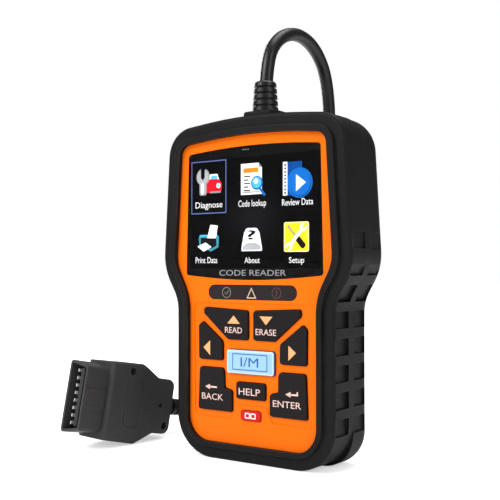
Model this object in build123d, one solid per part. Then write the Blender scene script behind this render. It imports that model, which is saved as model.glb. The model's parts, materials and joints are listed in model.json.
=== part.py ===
from build123d import *
import math
import os

# Hand-held vehicle code reader: a plastic case in a rubber boot, with a display, nine keys and a
# cable with a sixteen-pin diagnostic plug.
# Millimetres. Origin at the middle of the reader's foot, +Z up its height, the display faces -Y.

# ---- overall sizes -------------------------------------------------------------------------
body_width = 114.8        # boot, across the display end
grip_width = 95.2         # boot, across the keypad end
body_height = 172.6
body_depth = 38.0
waist_low = 80.0          # where the sides start to flare
waist_high = 97.0         # where the flare ends
foot_corner_r = 22.0
head_corner_r = 15.5
rear_head_corner_r = 18.0
rear_foot_corner_r = 17.0
waist_inner_r = 20.0
waist_outer_r = 28.0
crown_rise = 4.9          # rise of the arched top over its corners
crown_r = 300.0
crown_corner_x = 49.0     # half width at which the crown is measured

# ---- rubber boot -----------------------------------------------------------------------------
boot_wall = 5.0
rim_lip = 2.6             # rubber lip in front of the case
back_lip = 1.4            # rubber lip behind the case
rim_step = 2.0            # the front rim stands this far before the shoulder
rim_inset = 6.0
rim_edge_r = 0.7
front_window_inset = 9.6
window_grip_gain = 0.8    # the window is this much larger, each side and below, at the keypad end
back_window_inset = 15.0
shoulder_r = 1.8
rear_edge_r = 8.5
rear_lobe_y = 1.0
pocket_height = 8.2
pocket_pitch = 12.6
pocket_depth = 1.6
pocket_first_z = 21.6     # middle of the lowest grip pocket
pocket_count = 8
front_pocket_y = (-15.6, -3.2)
rear_pocket_y = (1.5, 13.5)
collar_half_x = 9.6
collar_half_y = 7.6
collar_rise = 3.6

# ---- plastic case ----------------------------------------------------------------------------
case_wall = 2.2
case_front_edge_r = 3.8
case_rear_edge_r = 5.0
seam_y = -4.0             # parting plane of the two covers, through the cable's axis
seam_lip = 1.1
seam_lip_height = 2.0
seam_lip_root = 3.0       # the lip is rooted this far inside the rear cover
seam_gap = 0.1

# ---- display ---------------------------------------------------------------------------------
lens_thickness = 1.2
lens_sink = 0.1
lens_gap = 0.15
lens_half_top = 40.0
lens_half_bottom = 41.4
lens_top_margin = 14.3    # top of the lens below the top of the boot
lens_bottom_z = 93.2
lens_bow = 2.5            # the lens edges bow outwards by this much
lens_corner_r = 1.6
lens_ledge = 1.1
gasket_thickness = 0.8
panel_thickness = 2.6
panel_border = 1.0
panel_top_drop = 2.2      # top of the panel below the lens corners
panel_frame_wall = 1.2

# ---- status lights ---------------------------------------------------------------------------
strip_half_length = 26.8
strip_height = 7.4
strip_z = 84.6
strip_flange = 0.9
led_spacing = 15.6
led_size = (3.2, 1.2, 2.0)

# ---- keypad ----------------------------------------------------------------------------------
pad_sink = 0.4
pad_bottom_z = 21.0
pad_top_z = 79.2
pad_side_margin = 2.5     # between the recess and the boot's window
pad_taper = 0.8
pad_notch_half = 9.0
pad_notch_rise = 7.4
key_hole_gap = 0.25
key_rise = 1.3            # above the recess
ready_key_rise = 1.72
key_flange = 0.8
key_flange_thickness = 0.8
key_travel = 0.8
key_margin = 3.6          # from the recess edge to the outer keys
key_corner_r = 1.3
key_top_r = 0.45
column_gap = 3.1
ready_key_half = 14.2
help_key_half = 8.8
red_key_half = 6.0
mat_thickness = 0.8
mat_bump_gap = 0.2        # between a fully pressed key and the mat
dome_d = 4.0
dome_thickness = 0.3

# ---- main board and what is on it ----------------------------------------------------------
board_front_y = -8.4
board_thickness = 1.6
board_gap = 2.0           # between the board's edge and the case wall
post_d = 4.4
board_screw_d = 2.0
screw_post_d = 8.0
insert_post_d = 6.4
insert_d = 4.4
insert_length = 5.0
screw_d = 3.0
screw_head_d = 5.6
screw_head_h = 2.2
screw_length = 8.0
usb_width = 7.8
usb_depth = 4.0
usb_length = 9.0
socket_margin = 2.2       # opening in the boot round the data socket
header_z = 147.0          # cable header on the board
label_size = (58.0, 34.0)
label_z = 122.0
label_thickness = 0.3
label_sink = 0.1          # the label lies this far below the back of the case
rib_count = 6             # grip ribs across the back
rib_first_z = 46.0
rib_pitch = 5.0
rib_size = (40.0, 2.0)
rib_rise = 0.7

# ---- cable -----------------------------------------------------------------------------------
cable_d = 7.0
relief_base_d = 13.6
relief_top_d = 11.2
relief_top_z = 191.5
relief_neck_d = 10.6
relief_flange_d = 14.0
relief_flange_h = 2.2
relief_ring_count = 4
coil_centre = (-48.0, 80.0)
coil_turn_d = 76.0        # across the middle of its turns
coil_lift = 1.0           # thickness of the tie under the coil
tie_width = 14.0

# ---- diagnostic plug: local X points out of its mouth, local Z is its width -----------------
plug_mouth = (-96.5, -43.3, 28.4)
plug_heading = 261.8      # degrees about +Z
plug_nose_up = 10.8
shell_half_far = 19.7
shell_half_near = 17.0
shell_half_thick = 8.0
shell_wall = 1.4
shell_depth = 13.0
shell_length = 24.0
pin_pitch = 4.0
pin_row_half = 4.0
pin_count = 8
pin_size = (17.0, 0.7, 1.6)
pin_set_back = 3.0        # the contacts end this far inside the mouth
grip_front = -14.0
grip_shoulder = -36.0
grip_neck = -49.0
grip_end = -62.0
grip_half_front = 21.0
grip_half_max = 22.0
grip_half_rear = 15.5
grip_half_thick = 11.5
grip_rear_drop = 2.0
grip_wall = 2.0
plug_relief_length = 24.0
plug_relief_d = 10.4
plug_screw_places = [(-28.1, 17.2), (-56.6, -10.8)]

# ---- sizes that follow ----------------------------------------------------------------------
half_width = body_width / 2
half_grip = grip_width / 2
front_y = -body_depth / 2
back_y = body_depth / 2
case_front_y = front_y + rim_lip
case_back_y = back_y - back_lip
shoulder_y = front_y + rim_step
case_inside_front_y = case_front_y + case_wall
case_inside_back_y = case_back_y - case_wall
case_inside_inset = boot_wall + case_wall
board_inset = case_inside_inset + board_gap
board_back_y = board_front_y + board_thickness
lens_front_y = case_front_y + lens_sink
lens_back_y = lens_front_y + lens_thickness
lens_top_z = body_height - lens_top_margin
ledge_back_y = max(case_inside_front_y, lens_back_y + 0.9)
gasket_back_y = ledge_back_y + gasket_thickness
panel_back_y = gasket_back_y + panel_thickness
pad_floor_y = case_front_y + pad_sink
key_front_y = pad_floor_y - key_rise
flange_front_y = case_inside_front_y + 0.1
flange_back_y = flange_front_y + key_flange_thickness
key_foot_y = flange_back_y + 0.3
mat_bump_y = key_foot_y + key_travel + mat_bump_gap
mat_front_y = mat_bump_y + 1.2
mat_back_y = mat_front_y + mat_thickness
pad_half = half_grip + window_grip_gain - front_window_inset - pad_side_margin
key_outer_x = pad_half - key_margin
usb_y = board_back_y + usb_depth / 2
header_y = board_back_y + 2.4
label_front_y = case_back_y - label_sink - label_thickness
screw_seat_y = seam_y + 4.0
guide_front_y = case_inside_front_y + 0.8

parts = {}


def plate(face, y_front, y_back):
    """A flat outline, drawn in X and Z, given its thickness along Y."""
    return extrude(Plane.XZ.offset(-y_back) * face, amount=y_back - y_front)


def shape(outline):
    """A closed outline, given as its points and the radius of each corner."""
    points, radii = outline
    return make_face(FilletPolyline(*points, radius=radii, close=True))


def moved_in(outline, amount):
    """The outline moved inwards by an amount, or outwards where it is negative."""
    points, radii = outline
    count = len(points)
    area = sum(points[i - 1][0] * points[i][1] - points[i][0] * points[i - 1][1] for i in range(count))
    turn_sign = 1 if area > 0 else -1
    lines = []
    for (x0, z0), (x1, z1) in zip(points, points[1:] + points[:1]):
        length = math.hypot(x1 - x0, z1 - z0)
        dx, dz = (x1 - x0) / length, (z1 - z0) / length
        lines.append((x0 - turn_sign * amount * dz, z0 + turn_sign * amount * dx, dx, dz))
    new_points, new_radii = [], []
    for i in range(count):
        ax, az, adx, adz = lines[i - 1]
        bx, bz, bdx, bdz = lines[i]
        cross = adx * bdz - adz * bdx
        along = ((bx - ax) * bdz - (bz - az) * bdx) / cross
        new_points.append((ax + along * adx, az + along * adz))
        change = -amount if cross * turn_sign > 0 else amount
        new_radii.append(max(radii[i] + change, min(radii[i], 0.4)))
    return new_points, new_radii


def inset(amount, outline):
    return shape(moved_in(outline, amount))


def reader_outline(head_r=head_corner_r, foot_r=foot_corner_r, grip_gain=0.0):
    """The boot's outline seen from the front, larger by grip_gain at the keypad end."""
    peak_z = body_height + 2.0
    corner_x = half_width - 4.2
    corner_z = peak_z - crown_rise * corner_x / crown_corner_x
    foot_x = half_grip + grip_gain
    right = [(foot_x, -grip_gain), (foot_x, waist_low), (half_width, waist_high), (corner_x, corner_z)]
    points = right + [(0, peak_z)] + [(-x, z) for x, z in reversed(right)]
    radii = [foot_r, waist_inner_r, waist_outer_r, head_r, crown_r]
    radii += [head_r, waist_outer_r, waist_inner_r, foot_r]
    return points, radii


def drill(x, z, d, y_front, y_back):
    """A cylinder along Y."""
    return plate(Pos(x, z) * Circle(d / 2), y_front, y_back)


def group(solids):
    return Compound(children=list(solids)) if len(solids) > 1 else solids[0]


def rectangle(x0, z0, x1, z1, radius):
    return [(x0, z0), (x1, z0), (x1, z1), (x0, z1)], [radius] * 4


front_outline = reader_outline()
rear_outline = reader_outline(rear_head_corner_r, rear_foot_corner_r)
window_outline = moved_in(reader_outline(grip_gain=window_grip_gain), front_window_inset)

# ---- keys ------------------------------------------------------------------------------------
# Each outline is drawn for the left side; the right-hand keys are its mirror image.
row_1 = (61.0, 76.8)
row_2 = (50.2, 69.6)
row_ready = (44.2, 55.9)
row_3 = (24.6, 46.2)
row_help = (31.7, 40.0)
row_red = (21.2, 26.2)
centre_gap = 1.6
up_key = [(-key_outer_x + 3.4, row_1[1]), (-centre_gap, row_1[1] - 1.3), (-centre_gap, row_1[0]),
          (-ready_key_half, row_1[0]), (-key_outer_x + 3.4, row_1[1] - 3.2)]
side_key_x = ready_key_half + column_gap
side_key = [(-key_outer_x, row_2[1] - 2.2), (-key_outer_x + 2.4, row_2[1]),
            (-side_key_x - 0.4, row_2[0] + 9.8), (-side_key_x, row_2[0] + 7.8),
            (-side_key_x, row_2[0]), (-key_outer_x + 0.2, row_2[0])]
corner_key = [(-key_outer_x + 0.7, row_3[1]), (-side_key_x, row_3[1]),
              (-help_key_half - 7.6, row_3[1] - 2.0), (-help_key_half - 7.5, row_3[0] + 11.8),
              (-help_key_half - 2.6, row_3[0] + 10.6), (-help_key_half - 2.6, row_3[0]),
              (-key_outer_x - 0.2, row_3[0])]
key_points = {
    "key_up": up_key,
    "key_down": [(-x, z) for x, z in reversed(up_key)],
    "key_left": side_key,
    "key_right": [(-x, z) for x, z in reversed(side_key)],
    "key_back": corner_key,
    "key_enter": [(-x, z) for x, z in reversed(corner_key)],
    "key_ready": [(-ready_key_half, row_ready[0]), (-ready_key_half, row_ready[1]),
                  (ready_key_half, row_ready[1]), (ready_key_half, row_ready[0])],
    "key_help": [(-help_key_half, row_help[0]), (-help_key_half, row_help[1]),
                 (help_key_half, row_help[1]), (help_key_half, row_help[0])],
    "key_red": [(-red_key_half, row_red[0]), (-red_key_half, row_red[1]),
                (red_key_half, row_red[1]), (red_key_half, row_red[0])],
}
key_outlines = {name: (points, [key_corner_r] * len(points)) for name, points in key_points.items()}


def make_key(name):
    """A cap that stands through the cover, on a flange that stops it inside."""
    outline = key_outlines[name]
    top_y = key_front_y if name != "key_ready" else pad_floor_y - ready_key_rise
    cap = plate(shape(outline), top_y, flange_back_y)
    cap = fillet(cap.faces().sort_by(Axis.Y)[0].edges(), key_top_r)
    flange = plate(inset(-key_flange, outline), flange_front_y, flange_back_y)
    foot = plate(inset(1.0, outline), flange_back_y, key_foot_y)
    return cap + flange + foot


# ---- outlines in the front cover -----------------------------------------------------------
lens_outline = (
    [(lens_half_bottom, lens_bottom_z), (lens_half_top, lens_top_z - lens_bow), (0, lens_top_z + 1.1),
     (-lens_half_top, lens_top_z - lens_bow), (-lens_half_bottom, lens_bottom_z), (0, lens_bottom_z - 3.4)],
    [lens_corner_r, lens_corner_r, 380.0, lens_corner_r, lens_corner_r, 330.0])
panel_outline = rectangle(-lens_half_top - panel_border, lens_bottom_z - panel_border,
                          lens_half_top + panel_border, lens_top_z - lens_bow - panel_top_drop, 1.0)
strip_outline = rectangle(-strip_half_length, strip_z - strip_height / 2,
                          strip_half_length, strip_z + strip_height / 2, strip_height / 2 - 0.05)
pad_outline = (
    [(pad_notch_half + 3.4, pad_bottom_z), (pad_half - pad_taper, pad_bottom_z), (pad_half, pad_top_z),
     (-pad_half, pad_top_z), (-pad_half + pad_taper, pad_bottom_z), (-pad_notch_half - 3.4, pad_bottom_z),
     (-pad_notch_half, pad_bottom_z + pad_notch_rise), (pad_notch_half, pad_bottom_z + pad_notch_rise)],
    [1.0, 3.0, 3.0, 3.0, 3.0, 1.0, 1.6, 1.6])

# Fixing places: case screws in the four corners, board screws along the sides.
case_screw_places = [(half_width - 14.8, body_height - 14.6), (half_grip - 14.4, 16.8)]
case_screw_places += [(-x, z) for x, z in case_screw_places]
board_screw_places = [(half_width - case_inside_inset - seam_lip - 3.4, lens_bottom_z + 10.0),
                      (28.0, body_height - 13.4),
                      (half_grip - 5.9 - case_wall - 3.4, pad_bottom_z + 9.0)]
board_screw_places += [(-x, z) for x, z in board_screw_places]


def make_boot():
    """Rubber sleeve: bulged sides, front rim, back lip, grip pockets and a collar for the cable."""
    front = plate(shape(front_outline), shoulder_y, rear_lobe_y)
    front = fillet(front.faces().sort_by(Axis.Y)[0].edges(), shoulder_r)
    rear = plate(shape(rear_outline), rear_lobe_y, back_y)
    rear = fillet(rear.faces().sort_by(Axis.Y)[-1].edges(), rear_edge_r)
    rim = plate(inset(rim_inset, front_outline), front_y, shoulder_y + 1.0)
    rim = fillet(rim.faces().sort_by(Axis.Y)[0].edges(), rim_edge_r)
    collar = extrude(Pos(0, seam_y, body_height - boot_wall) * RectangleRounded(
        2 * collar_half_x, 2 * collar_half_y, 3.0), amount=boot_wall + collar_rise)
    collar = fillet(collar.faces().sort_by(Axis.Z)[-1].edges(), 1.2)
    boot = front + rear + rim + collar
    case = plate(inset(boot_wall, front_outline), case_front_y, case_back_y)
    case = fillet(case.faces().sort_by(Axis.Y)[0].edges(), case_front_edge_r)
    case = fillet(case.faces().sort_by(Axis.Y)[-1].edges(), case_rear_edge_r)
    boot -= case
    boot -= plate(shape(window_outline), front_y - 1, case_front_y + 1)
    boot -= plate(inset(back_window_inset, front_outline), case_back_y - 1, back_y + 1)
    boot -= Pos(0, seam_y, body_height) * Cylinder(relief_neck_d / 2 + 0.2, 40)
    socket_room = RectangleRounded(usb_width + 2 * socket_margin, usb_depth + 2 * socket_margin, 1.5)
    boot -= Pos(0, usb_y, -1) * extrude(socket_room, amount=boot_wall + 2)
    for cutter in grip_pockets():
        boot -= cutter
    return boot


def grip_pockets():
    """Cutters for two columns of shallow square pockets down each side."""
    cutters = []
    slope = (half_width - half_grip) / (waist_high - waist_low)
    for index in range(pocket_count):
        z = pocket_first_z + index * pocket_pitch
        low, high = z - pocket_height / 2, z + pocket_height / 2
        if low > waist_high - 1.5:
            floor_low = floor_high = half_width - pocket_depth
        elif high < waist_low + 3.0:
            floor_low = floor_high = half_grip - pocket_depth
        else:
            floor_low = half_grip + slope * (low - waist_low) - pocket_depth * 1.1
            floor_high = half_grip + slope * (high - waist_low) - pocket_depth * 1.1
        far = half_width + 5
        side = make_face(Polyline((floor_low, low), (far, low), (far, high), (floor_high, high), close=True))
        for y_low, y_high in (front_pocket_y, rear_pocket_y):
            cutter = plate(side, y_low, y_high)
            cutters += [cutter, mirror(cutter, Plane.YZ)]
    return cutters


def case_blank(y_front, y_back):
    """Outside of the case between two depths."""
    blank = plate(inset(boot_wall, front_outline), case_front_y, case_back_y)
    blank = fillet(blank.faces().sort_by(Axis.Y)[0].edges(), case_front_edge_r)
    blank = fillet(blank.faces().sort_by(Axis.Y)[-1].edges(), case_rear_edge_r)
    window = Pos(0, (y_front + y_back) / 2, body_height / 2) * Box(
        2 * body_width, y_back - y_front, 2 * body_height)
    return blank & window


def case_openings(solid):
    """Holes that both covers share: the cable's neck at the top and the data socket at the foot."""
    solid -= Pos(0, seam_y, body_height - case_inside_inset) * Cylinder(relief_neck_d / 2, 30)
    solid -= Pos(0, usb_y, 0) * extrude(Rectangle(usb_width + 0.8, usb_depth + 0.8), amount=2 * boot_wall)
    return solid


def make_front_cover():
    cover = case_blank(case_front_y, seam_y)
    cover -= plate(inset(case_inside_inset, front_outline), case_inside_front_y, seam_y)
    for x, z in case_screw_places:
        cover += drill(x, z, insert_post_d, case_inside_front_y, seam_y)
        cover -= drill(x, z, insert_d, seam_y - insert_length - 4.0, seam_y)
    for x, z in board_screw_places:
        cover += drill(x, z, post_d, case_inside_front_y, board_front_y)
        cover -= drill(x, z, board_screw_d * 0.85, board_front_y - 4.0, board_front_y)
    cover += plate(inset(-1.2, panel_outline), case_inside_front_y, gasket_back_y)
    cover -= plate(inset(-0.2, panel_outline), ledge_back_y, gasket_back_y)
    cover -= plate(inset(-lens_gap, lens_outline), case_front_y - 1, lens_back_y)
    cover -= plate(inset(lens_ledge, lens_outline), case_front_y - 1, gasket_back_y)
    cover -= plate(inset(-0.1, strip_outline), case_front_y - 1, case_inside_front_y + 1)
    cover -= plate(shape(pad_outline), case_front_y - 1, pad_floor_y)
    for outline in key_outlines.values():
        cover -= plate(inset(-key_hole_gap, outline), case_front_y - 1, case_inside_front_y + 1)
    return case_openings(cover)


def make_rear_cover():
    cover = case_blank(seam_y, case_back_y)
    cover -= plate(inset(case_inside_inset, front_outline), seam_y, case_inside_back_y)
    lip_front_y = seam_y - seam_lip_height
    lip_back_y = seam_y + seam_lip_root
    lip = plate(inset(case_inside_inset - 0.3, front_outline), seam_y, lip_back_y)
    lip += plate(inset(case_inside_inset + seam_gap, front_outline), lip_front_y, seam_y)
    lip -= plate(inset(case_inside_inset + seam_gap + seam_lip, front_outline), lip_front_y, lip_back_y)
    for x, z in case_screw_places:
        lip -= drill(x, z, insert_post_d + 0.4, lip_front_y, seam_y)
        cover += drill(x, z, screw_post_d, seam_y, case_inside_back_y)
    cover += lip
    for x, z in case_screw_places:
        cover -= drill(x, z, screw_d + 0.4, seam_y - 1, case_back_y)
        cover -= drill(x, z, screw_head_d + 0.4, screw_seat_y, case_back_y)
    cover -= plate(Pos(0, label_z) * RectangleRounded(label_size[0] + 0.4, label_size[1] + 0.4, 2.2),
                   label_front_y, case_back_y)
    for index in range(rib_count):
        rib = Pos(0, rib_first_z + index * rib_pitch) * SlotOverall(*rib_size)
        cover += plate(rib, case_back_y, case_back_y + rib_rise)
    cover = case_openings(cover)
    lip_cut = Pos(0, seam_y - 2, 10) * Box(usb_width + 5, 8, 8)
    flange_room = (relief_flange_d + 2, relief_flange_d + 1, 2 * (relief_flange_h + 0.4))
    flange_cut = box_at(0, seam_y, body_height - case_inside_inset - 2.5, flange_room)
    return cover - lip_cut - flange_cut


# ---- board, display and small parts -------------------------------------------------------


def make_board():
    board = plate(inset(board_inset, front_outline), board_front_y, board_back_y)
    for x, z in case_screw_places:
        board -= drill(x, z, insert_post_d + 1.2, board_front_y, board_back_y)
    for x, z in board_screw_places:
        board -= drill(x, z, board_screw_d + 0.3, board_front_y, board_back_y)
    board -= Pos(0, board_front_y, body_height - board_inset) * Box(relief_flange_d + 6, 8, 16)
    return board


def make_mat():
    """Silicone sheet under the keys, with a bump for each key and a plunger over each dome."""
    sheet = rectangle(-pad_half + 1.4, pad_bottom_z - 0.6, pad_half - 1.4, pad_top_z - 0.8, 2.0)
    mat = plate(shape(sheet), mat_front_y, mat_back_y)
    mat += plate(shape(sheet) - inset(1.2, sheet), mat_back_y, board_front_y)
    for name, outline in key_outlines.items():
        mat += plate(inset(1.2, outline), mat_bump_y, mat_front_y)
        x, z = key_middle(name)
        mat += drill(x, z, 3.0, mat_back_y, board_front_y - dome_thickness - 0.2)
    for x, z in board_screw_places:
        mat -= drill(x, z, post_d + 0.6, mat_bump_y - 1, board_front_y)
    return mat


def key_middle(name):
    centre = shape(key_outlines[name]).center()
    return centre.X, centre.Y


def make_screw(x, z, head_y, length, head_d, shank_d, head_h):
    """Pan-head screw driven along -Y, with a cross recess."""
    screw = drill(x, z, head_d, head_y, head_y + head_h)
    screw = fillet(screw.faces().sort_by(Axis.Y)[-1].edges(), head_h * 0.35)
    screw += drill(x, z, shank_d, head_y - length, head_y)
    slot = head_d * 0.5
    cross = Pos(x, z) * (Rectangle(slot, head_d * 0.14) + Rectangle(head_d * 0.14, slot))
    return screw - plate(cross, head_y + head_h * 0.45, head_y + head_h)


def box_at(x, y, z, size):
    return Pos(x, y, z) * Box(*size)


def make_chips():
    """Processor, memory and bus transceivers on the back of the board."""
    chips = []
    for x, z, w, h, t in ((-14, 112, 14, 14, 1.4), (10, 118, 10, 12, 1.2), (28, 104, 6, 5, 1.5),
                          (28, 92, 6, 5, 1.5), (-32, 96, 7, 6, 1.5), (18, 60, 8, 6, 1.5)):
        chips.append(box_at(x, board_back_y + t / 2, z, (w, t, h)))
    return chips


def make_passives():
    """Electrolytic capacitors, a coil and a crystal."""
    passives = []
    for x, z, d, h in ((-30, 140, 8, 9), (-19, 141, 6.3, 7), (30, 140, 8, 9)):
        passives.append(drill(x, z, d, board_back_y, board_back_y + h))
    passives.append(box_at(32, board_back_y + 2, 124, (9, 4, 9)))
    passives.append(box_at(-2, board_back_y + 1.6, 100, (10, 3.2, 4)))
    return passives


# ---- cable -----------------------------------------------------------------------------------
upper_route = [(0, -4, 172), (0, -4, 202), (0, 8.5, 218), (0, 28, 224), (0, 47, 218.5), (0, 59, 202.5),
               (0, 61.5, 168), (-1.5, 58, 118), (-4.5, 49, 74), (-6.6, 44.5, 42), (-7.2, 54, 18),
               (-6.7, 78, 11.5)]
lower_route_start = [(-89.4, 77.0, 4.6), (-88.2, 57.0, 6.6)]


def turn_between(a, b, c):
    first = Vector(*b) - Vector(*a)
    second = Vector(*c) - Vector(*b)
    return math.radians(first.get_angle(second)), min(first.length, second.length)


def route_line(points, name):
    """Straight runs joined by arcs as large as the runs allow."""
    radii = []
    for a, b, c in zip(points, points[1:], points[2:]):
        turn, run = turn_between(a, b, c)
        radii.append(0.45 * run / math.tan(turn / 2))
    print(name, "arc radii", [round(r, 1) for r in radii])
    return FilletPolyline(*points, radius=radii)


def make_tube(points, diameter, name):
    line = route_line(points, name)
    start = Plane(origin=line @ 0, z_dir=line % 0)
    tube = sweep(start * Circle(diameter / 2), path=line)
    expected = math.pi * diameter ** 2 / 4 * line.length
    print(name, "length", round(line.length, 1), "volume share", round(tube.volume / expected, 4))
    return tube


def ringed_profile(base_r, top_r, low, high, rings, bore_r):
    """Half section of a tapered sleeve with rings, for turning about Z."""
    points = [(bore_r, low), (base_r, low)]
    step = (high - low) / (rings + 0.8)
    for index in range(rings):
        z = low + step * (index + 0.62)
        r = base_r + (top_r - base_r) * (z - low) / (high - low)
        points += [(r, z), (r - 1.3, z + step * 0.04), (r - 1.3, z + step * 0.34), (r - 0.1, z + step * 0.38)]
    points += [(top_r, high - 0.8), (top_r - 0.8, high), (bore_r, high)]
    return points


def turned(points, axis_plane):
    """A solid turned about the plane's Z direction."""
    face = make_face(Polyline(*[(r, 0, z) for r, z in points], close=True))
    return axis_plane * revolve(face, Axis.Z)


def make_strain_relief():
    """Ringed rubber sleeve; its neck passes the boot and case, its flange stays inside the case."""
    case_in_z = body_height - case_inside_inset
    collar_top = body_height + collar_rise
    sleeve = ringed_profile(relief_base_d / 2, relief_top_d / 2, collar_top + 0.1, relief_top_z,
                            relief_ring_count, cable_d / 2)
    neck = [(cable_d / 2, case_in_z - relief_flange_h), (relief_flange_d / 2, case_in_z - relief_flange_h),
            (relief_flange_d / 2, case_in_z - 0.2), (relief_neck_d / 2, case_in_z - 0.2),
            (relief_neck_d / 2, collar_top + 0.1)]
    return turned(neck + sleeve[1:], Plane(origin=(0, seam_y, 0)))


def make_wires():
    """Six thin wires from the cable's end to the header on the board."""
    wires = []
    for index in range(6):
        x = (index - 2.5) * 1.6
        start_z = body_height - case_inside_inset - relief_flange_h
        path = FilletPolyline((x * 0.6, seam_y, start_z), (x * 0.6, seam_y, start_z - 5),
                              (x, header_y, header_z + 5), (x, header_y, header_z + 2.4), radius=1.4)
        plane = Plane(origin=path @ 0, z_dir=path % 0)
        wires.append(sweep(plane * Circle(0.55), path=path))
    return wires


def make_coil():
    """Outer shape of the wound part of the cable, lying on its tie."""
    outer_r = coil_turn_d / 2 + cable_d
    inner_r = coil_turn_d / 2 - cable_d
    ring = Cylinder(outer_r, 2 * cable_d) - Cylinder(inner_r, 2 * cable_d)
    ring = fillet(ring.edges(), 2.5)
    return Pos(coil_centre[0], coil_centre[1], coil_lift + cable_d) * ring


def make_tie():
    """Hook-and-loop strap round the coil on its far side."""
    middle_y = coil_centre[1] + coil_turn_d / 2
    height = 2 * cable_d + 2 * coil_lift
    band = Pos(coil_centre[0], middle_y, height / 2) * Box(tie_width, 2 * cable_d + 2 * coil_lift + 2, height)
    band = fillet(band.edges().filter_by(Axis.X), 1.8)
    outer_r = coil_turn_d / 2 + cable_d
    inner_r = coil_turn_d / 2 - cable_d
    ring = Cylinder(outer_r, 2 * cable_d) - Cylinder(inner_r, 2 * cable_d)
    return band - Pos(coil_centre[0], coil_centre[1], coil_lift + cable_d) * ring


# ---- diagnostic plug -----------------------------------------------------------------------
heading = math.radians(plug_heading)
nose = math.radians(plug_nose_up)
plug_axis = Vector(math.cos(heading) * math.cos(nose), math.sin(heading) * math.cos(nose), math.sin(nose))
plug_side = Vector(-math.sin(heading), math.cos(heading), 0)
plug_up = plug_axis.cross(plug_side)
plug_plane = Plane(origin=plug_mouth, x_dir=plug_axis, z_dir=plug_up)


def plug_point(along):
    """A place on the plug's axis."""
    return tuple(Vector(*plug_mouth) + plug_axis * along)


def across(face, low, high):
    """An outline drawn in the plug's side and width directions, given its length along the axis."""
    return extrude(Plane.YZ.offset(low) * face, amount=high - low)


def shell_section(grow=0.0):
    points = [(-shell_half_thick, -shell_half_far), (-shell_half_thick, shell_half_far),
              (shell_half_thick, shell_half_near), (shell_half_thick, -shell_half_near)]
    return inset(-grow, (points, [2.2] * 4))


def make_plug_shell():
    """D-shaped mouth that enters the vehicle's socket, with a latch tab on its narrow side."""
    shell = across(shell_section(), -shell_length, 0)
    shell -= across(shell_section(-shell_wall), -shell_depth, 1)
    for index in range(pin_count):
        for side in (-1, 1):
            shell -= pin_blade(index, side)
    tab = Pos(-7.5, shell_half_thick, 0) * Box(12.5, 1.2, 10.5)
    return shell + tab - Pos(-7.5, shell_half_thick + 0.6, 0) * Box(12.5, 0.6, 8.5)


def pin_blade(index, side):
    """One contact, counted along the plug's width; side is -1 or 1 for its row."""
    w = (index - (pin_count - 1) / 2) * pin_pitch
    return box_at(-pin_set_back - pin_size[0] / 2, side * pin_row_half, w, pin_size)


def make_plug_tongue():
    """Bar between the two rows of pins."""
    bar = Pos(-shell_depth / 2 - 1.5, 0, 0) * Box(shell_depth - 3.0, 2.6, 31.0)
    return fillet(bar.edges().filter_by(Axis.X), 0.8)


def grip_blank():
    """Outside of the plug's grip, a flat box that narrows to the rear."""
    right = [(grip_front, grip_half_front), (grip_shoulder, grip_half_max), (grip_neck, grip_half_rear),
             (grip_end, grip_half_rear)]
    points = right + [(x, -w) for x, w in reversed(right)]
    face = shape((points, [0.6, 3.0, 3.0, 4.5, 4.5, 3.0, 3.0, 0.6]))
    blank = extrude(Plane.XZ.offset(-grip_half_thick) * face, amount=2 * grip_half_thick)
    for side in (-1, 1):
        low = grip_half_thick - grip_rear_drop
        wedge = Polyline((-40.0, side * grip_half_thick), (grip_end - 1, side * low),
                         (grip_end - 1, side * (grip_half_thick + 1)), (-40.0, side * (grip_half_thick + 1)),
                         close=True)
        blank -= extrude(Plane.XY.offset(-30) * make_face(wedge), amount=60)
    long_edges = [e for e in blank.edges() if abs(abs(e.center().Y) - grip_half_thick) < 2.2]
    outer = [e for e in long_edges if e.center().X < grip_front - 1 and abs(e.center().Z) > 9]
    return fillet(outer, 2.0)


def make_plug_covers():
    """Two halves of the grip, screwed together over the shell and the cable's end."""
    body = grip_blank()
    room = grip_blank_room()
    body -= room
    body -= across(shell_section(), -shell_length, grip_front + 1)
    bore = Pos(grip_end, 0, 0) * Rot(0, 90, 0) * Cylinder(plug_relief_d / 2 - 1.2, 12)
    body -= bore
    near_half = Pos(-40, 25, 0) * Box(80, 50, 80)
    near = body & near_half
    far = body - near_half
    for a, w in plug_screw_places:
        post = Pos(a, 0, w) * Rot(90, 0, 0) * Cylinder(2.6, 2 * (grip_half_thick - grip_wall) + 1)
        near += post & near_half & grip_blank()
        far += (post - near_half) & grip_blank()
        near -= Pos(a, 0, w) * Rot(90, 0, 0) * Cylinder(1.2, 2 * grip_half_thick)
        far -= Pos(a, -3, w) * Rot(90, 0, 0) * Cylinder(1.0, 8)
        near -= Pos(a, grip_half_thick - 2.0, w) * Rot(90, 0, 0) * Cylinder(2.1, 8)
    near -= Pos(-51.8, grip_half_thick - 1.1, 0.4) * Rot(90, 0, 0) * Cylinder(1.3, 3)
    frame = RectangleRounded(11.0, 27.0, 4.0) - RectangleRounded(9.8, 25.8, 3.4)
    groove = extrude(Plane.XZ.offset(-grip_half_thick - 1) * (Pos(-30.8, 0.2) * frame), amount=1.4)
    return near - groove, far


def grip_blank_room():
    """Space inside the grip for the cable's end and the pins' tails."""
    half = grip_half_rear - grip_wall - 1
    thick = grip_half_thick - grip_wall - grip_rear_drop
    return Pos((-shell_length + grip_end + grip_wall) / 2, 0, 0) * Box(
        -shell_length - grip_end - grip_wall, 2 * thick, 2 * half)


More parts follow.
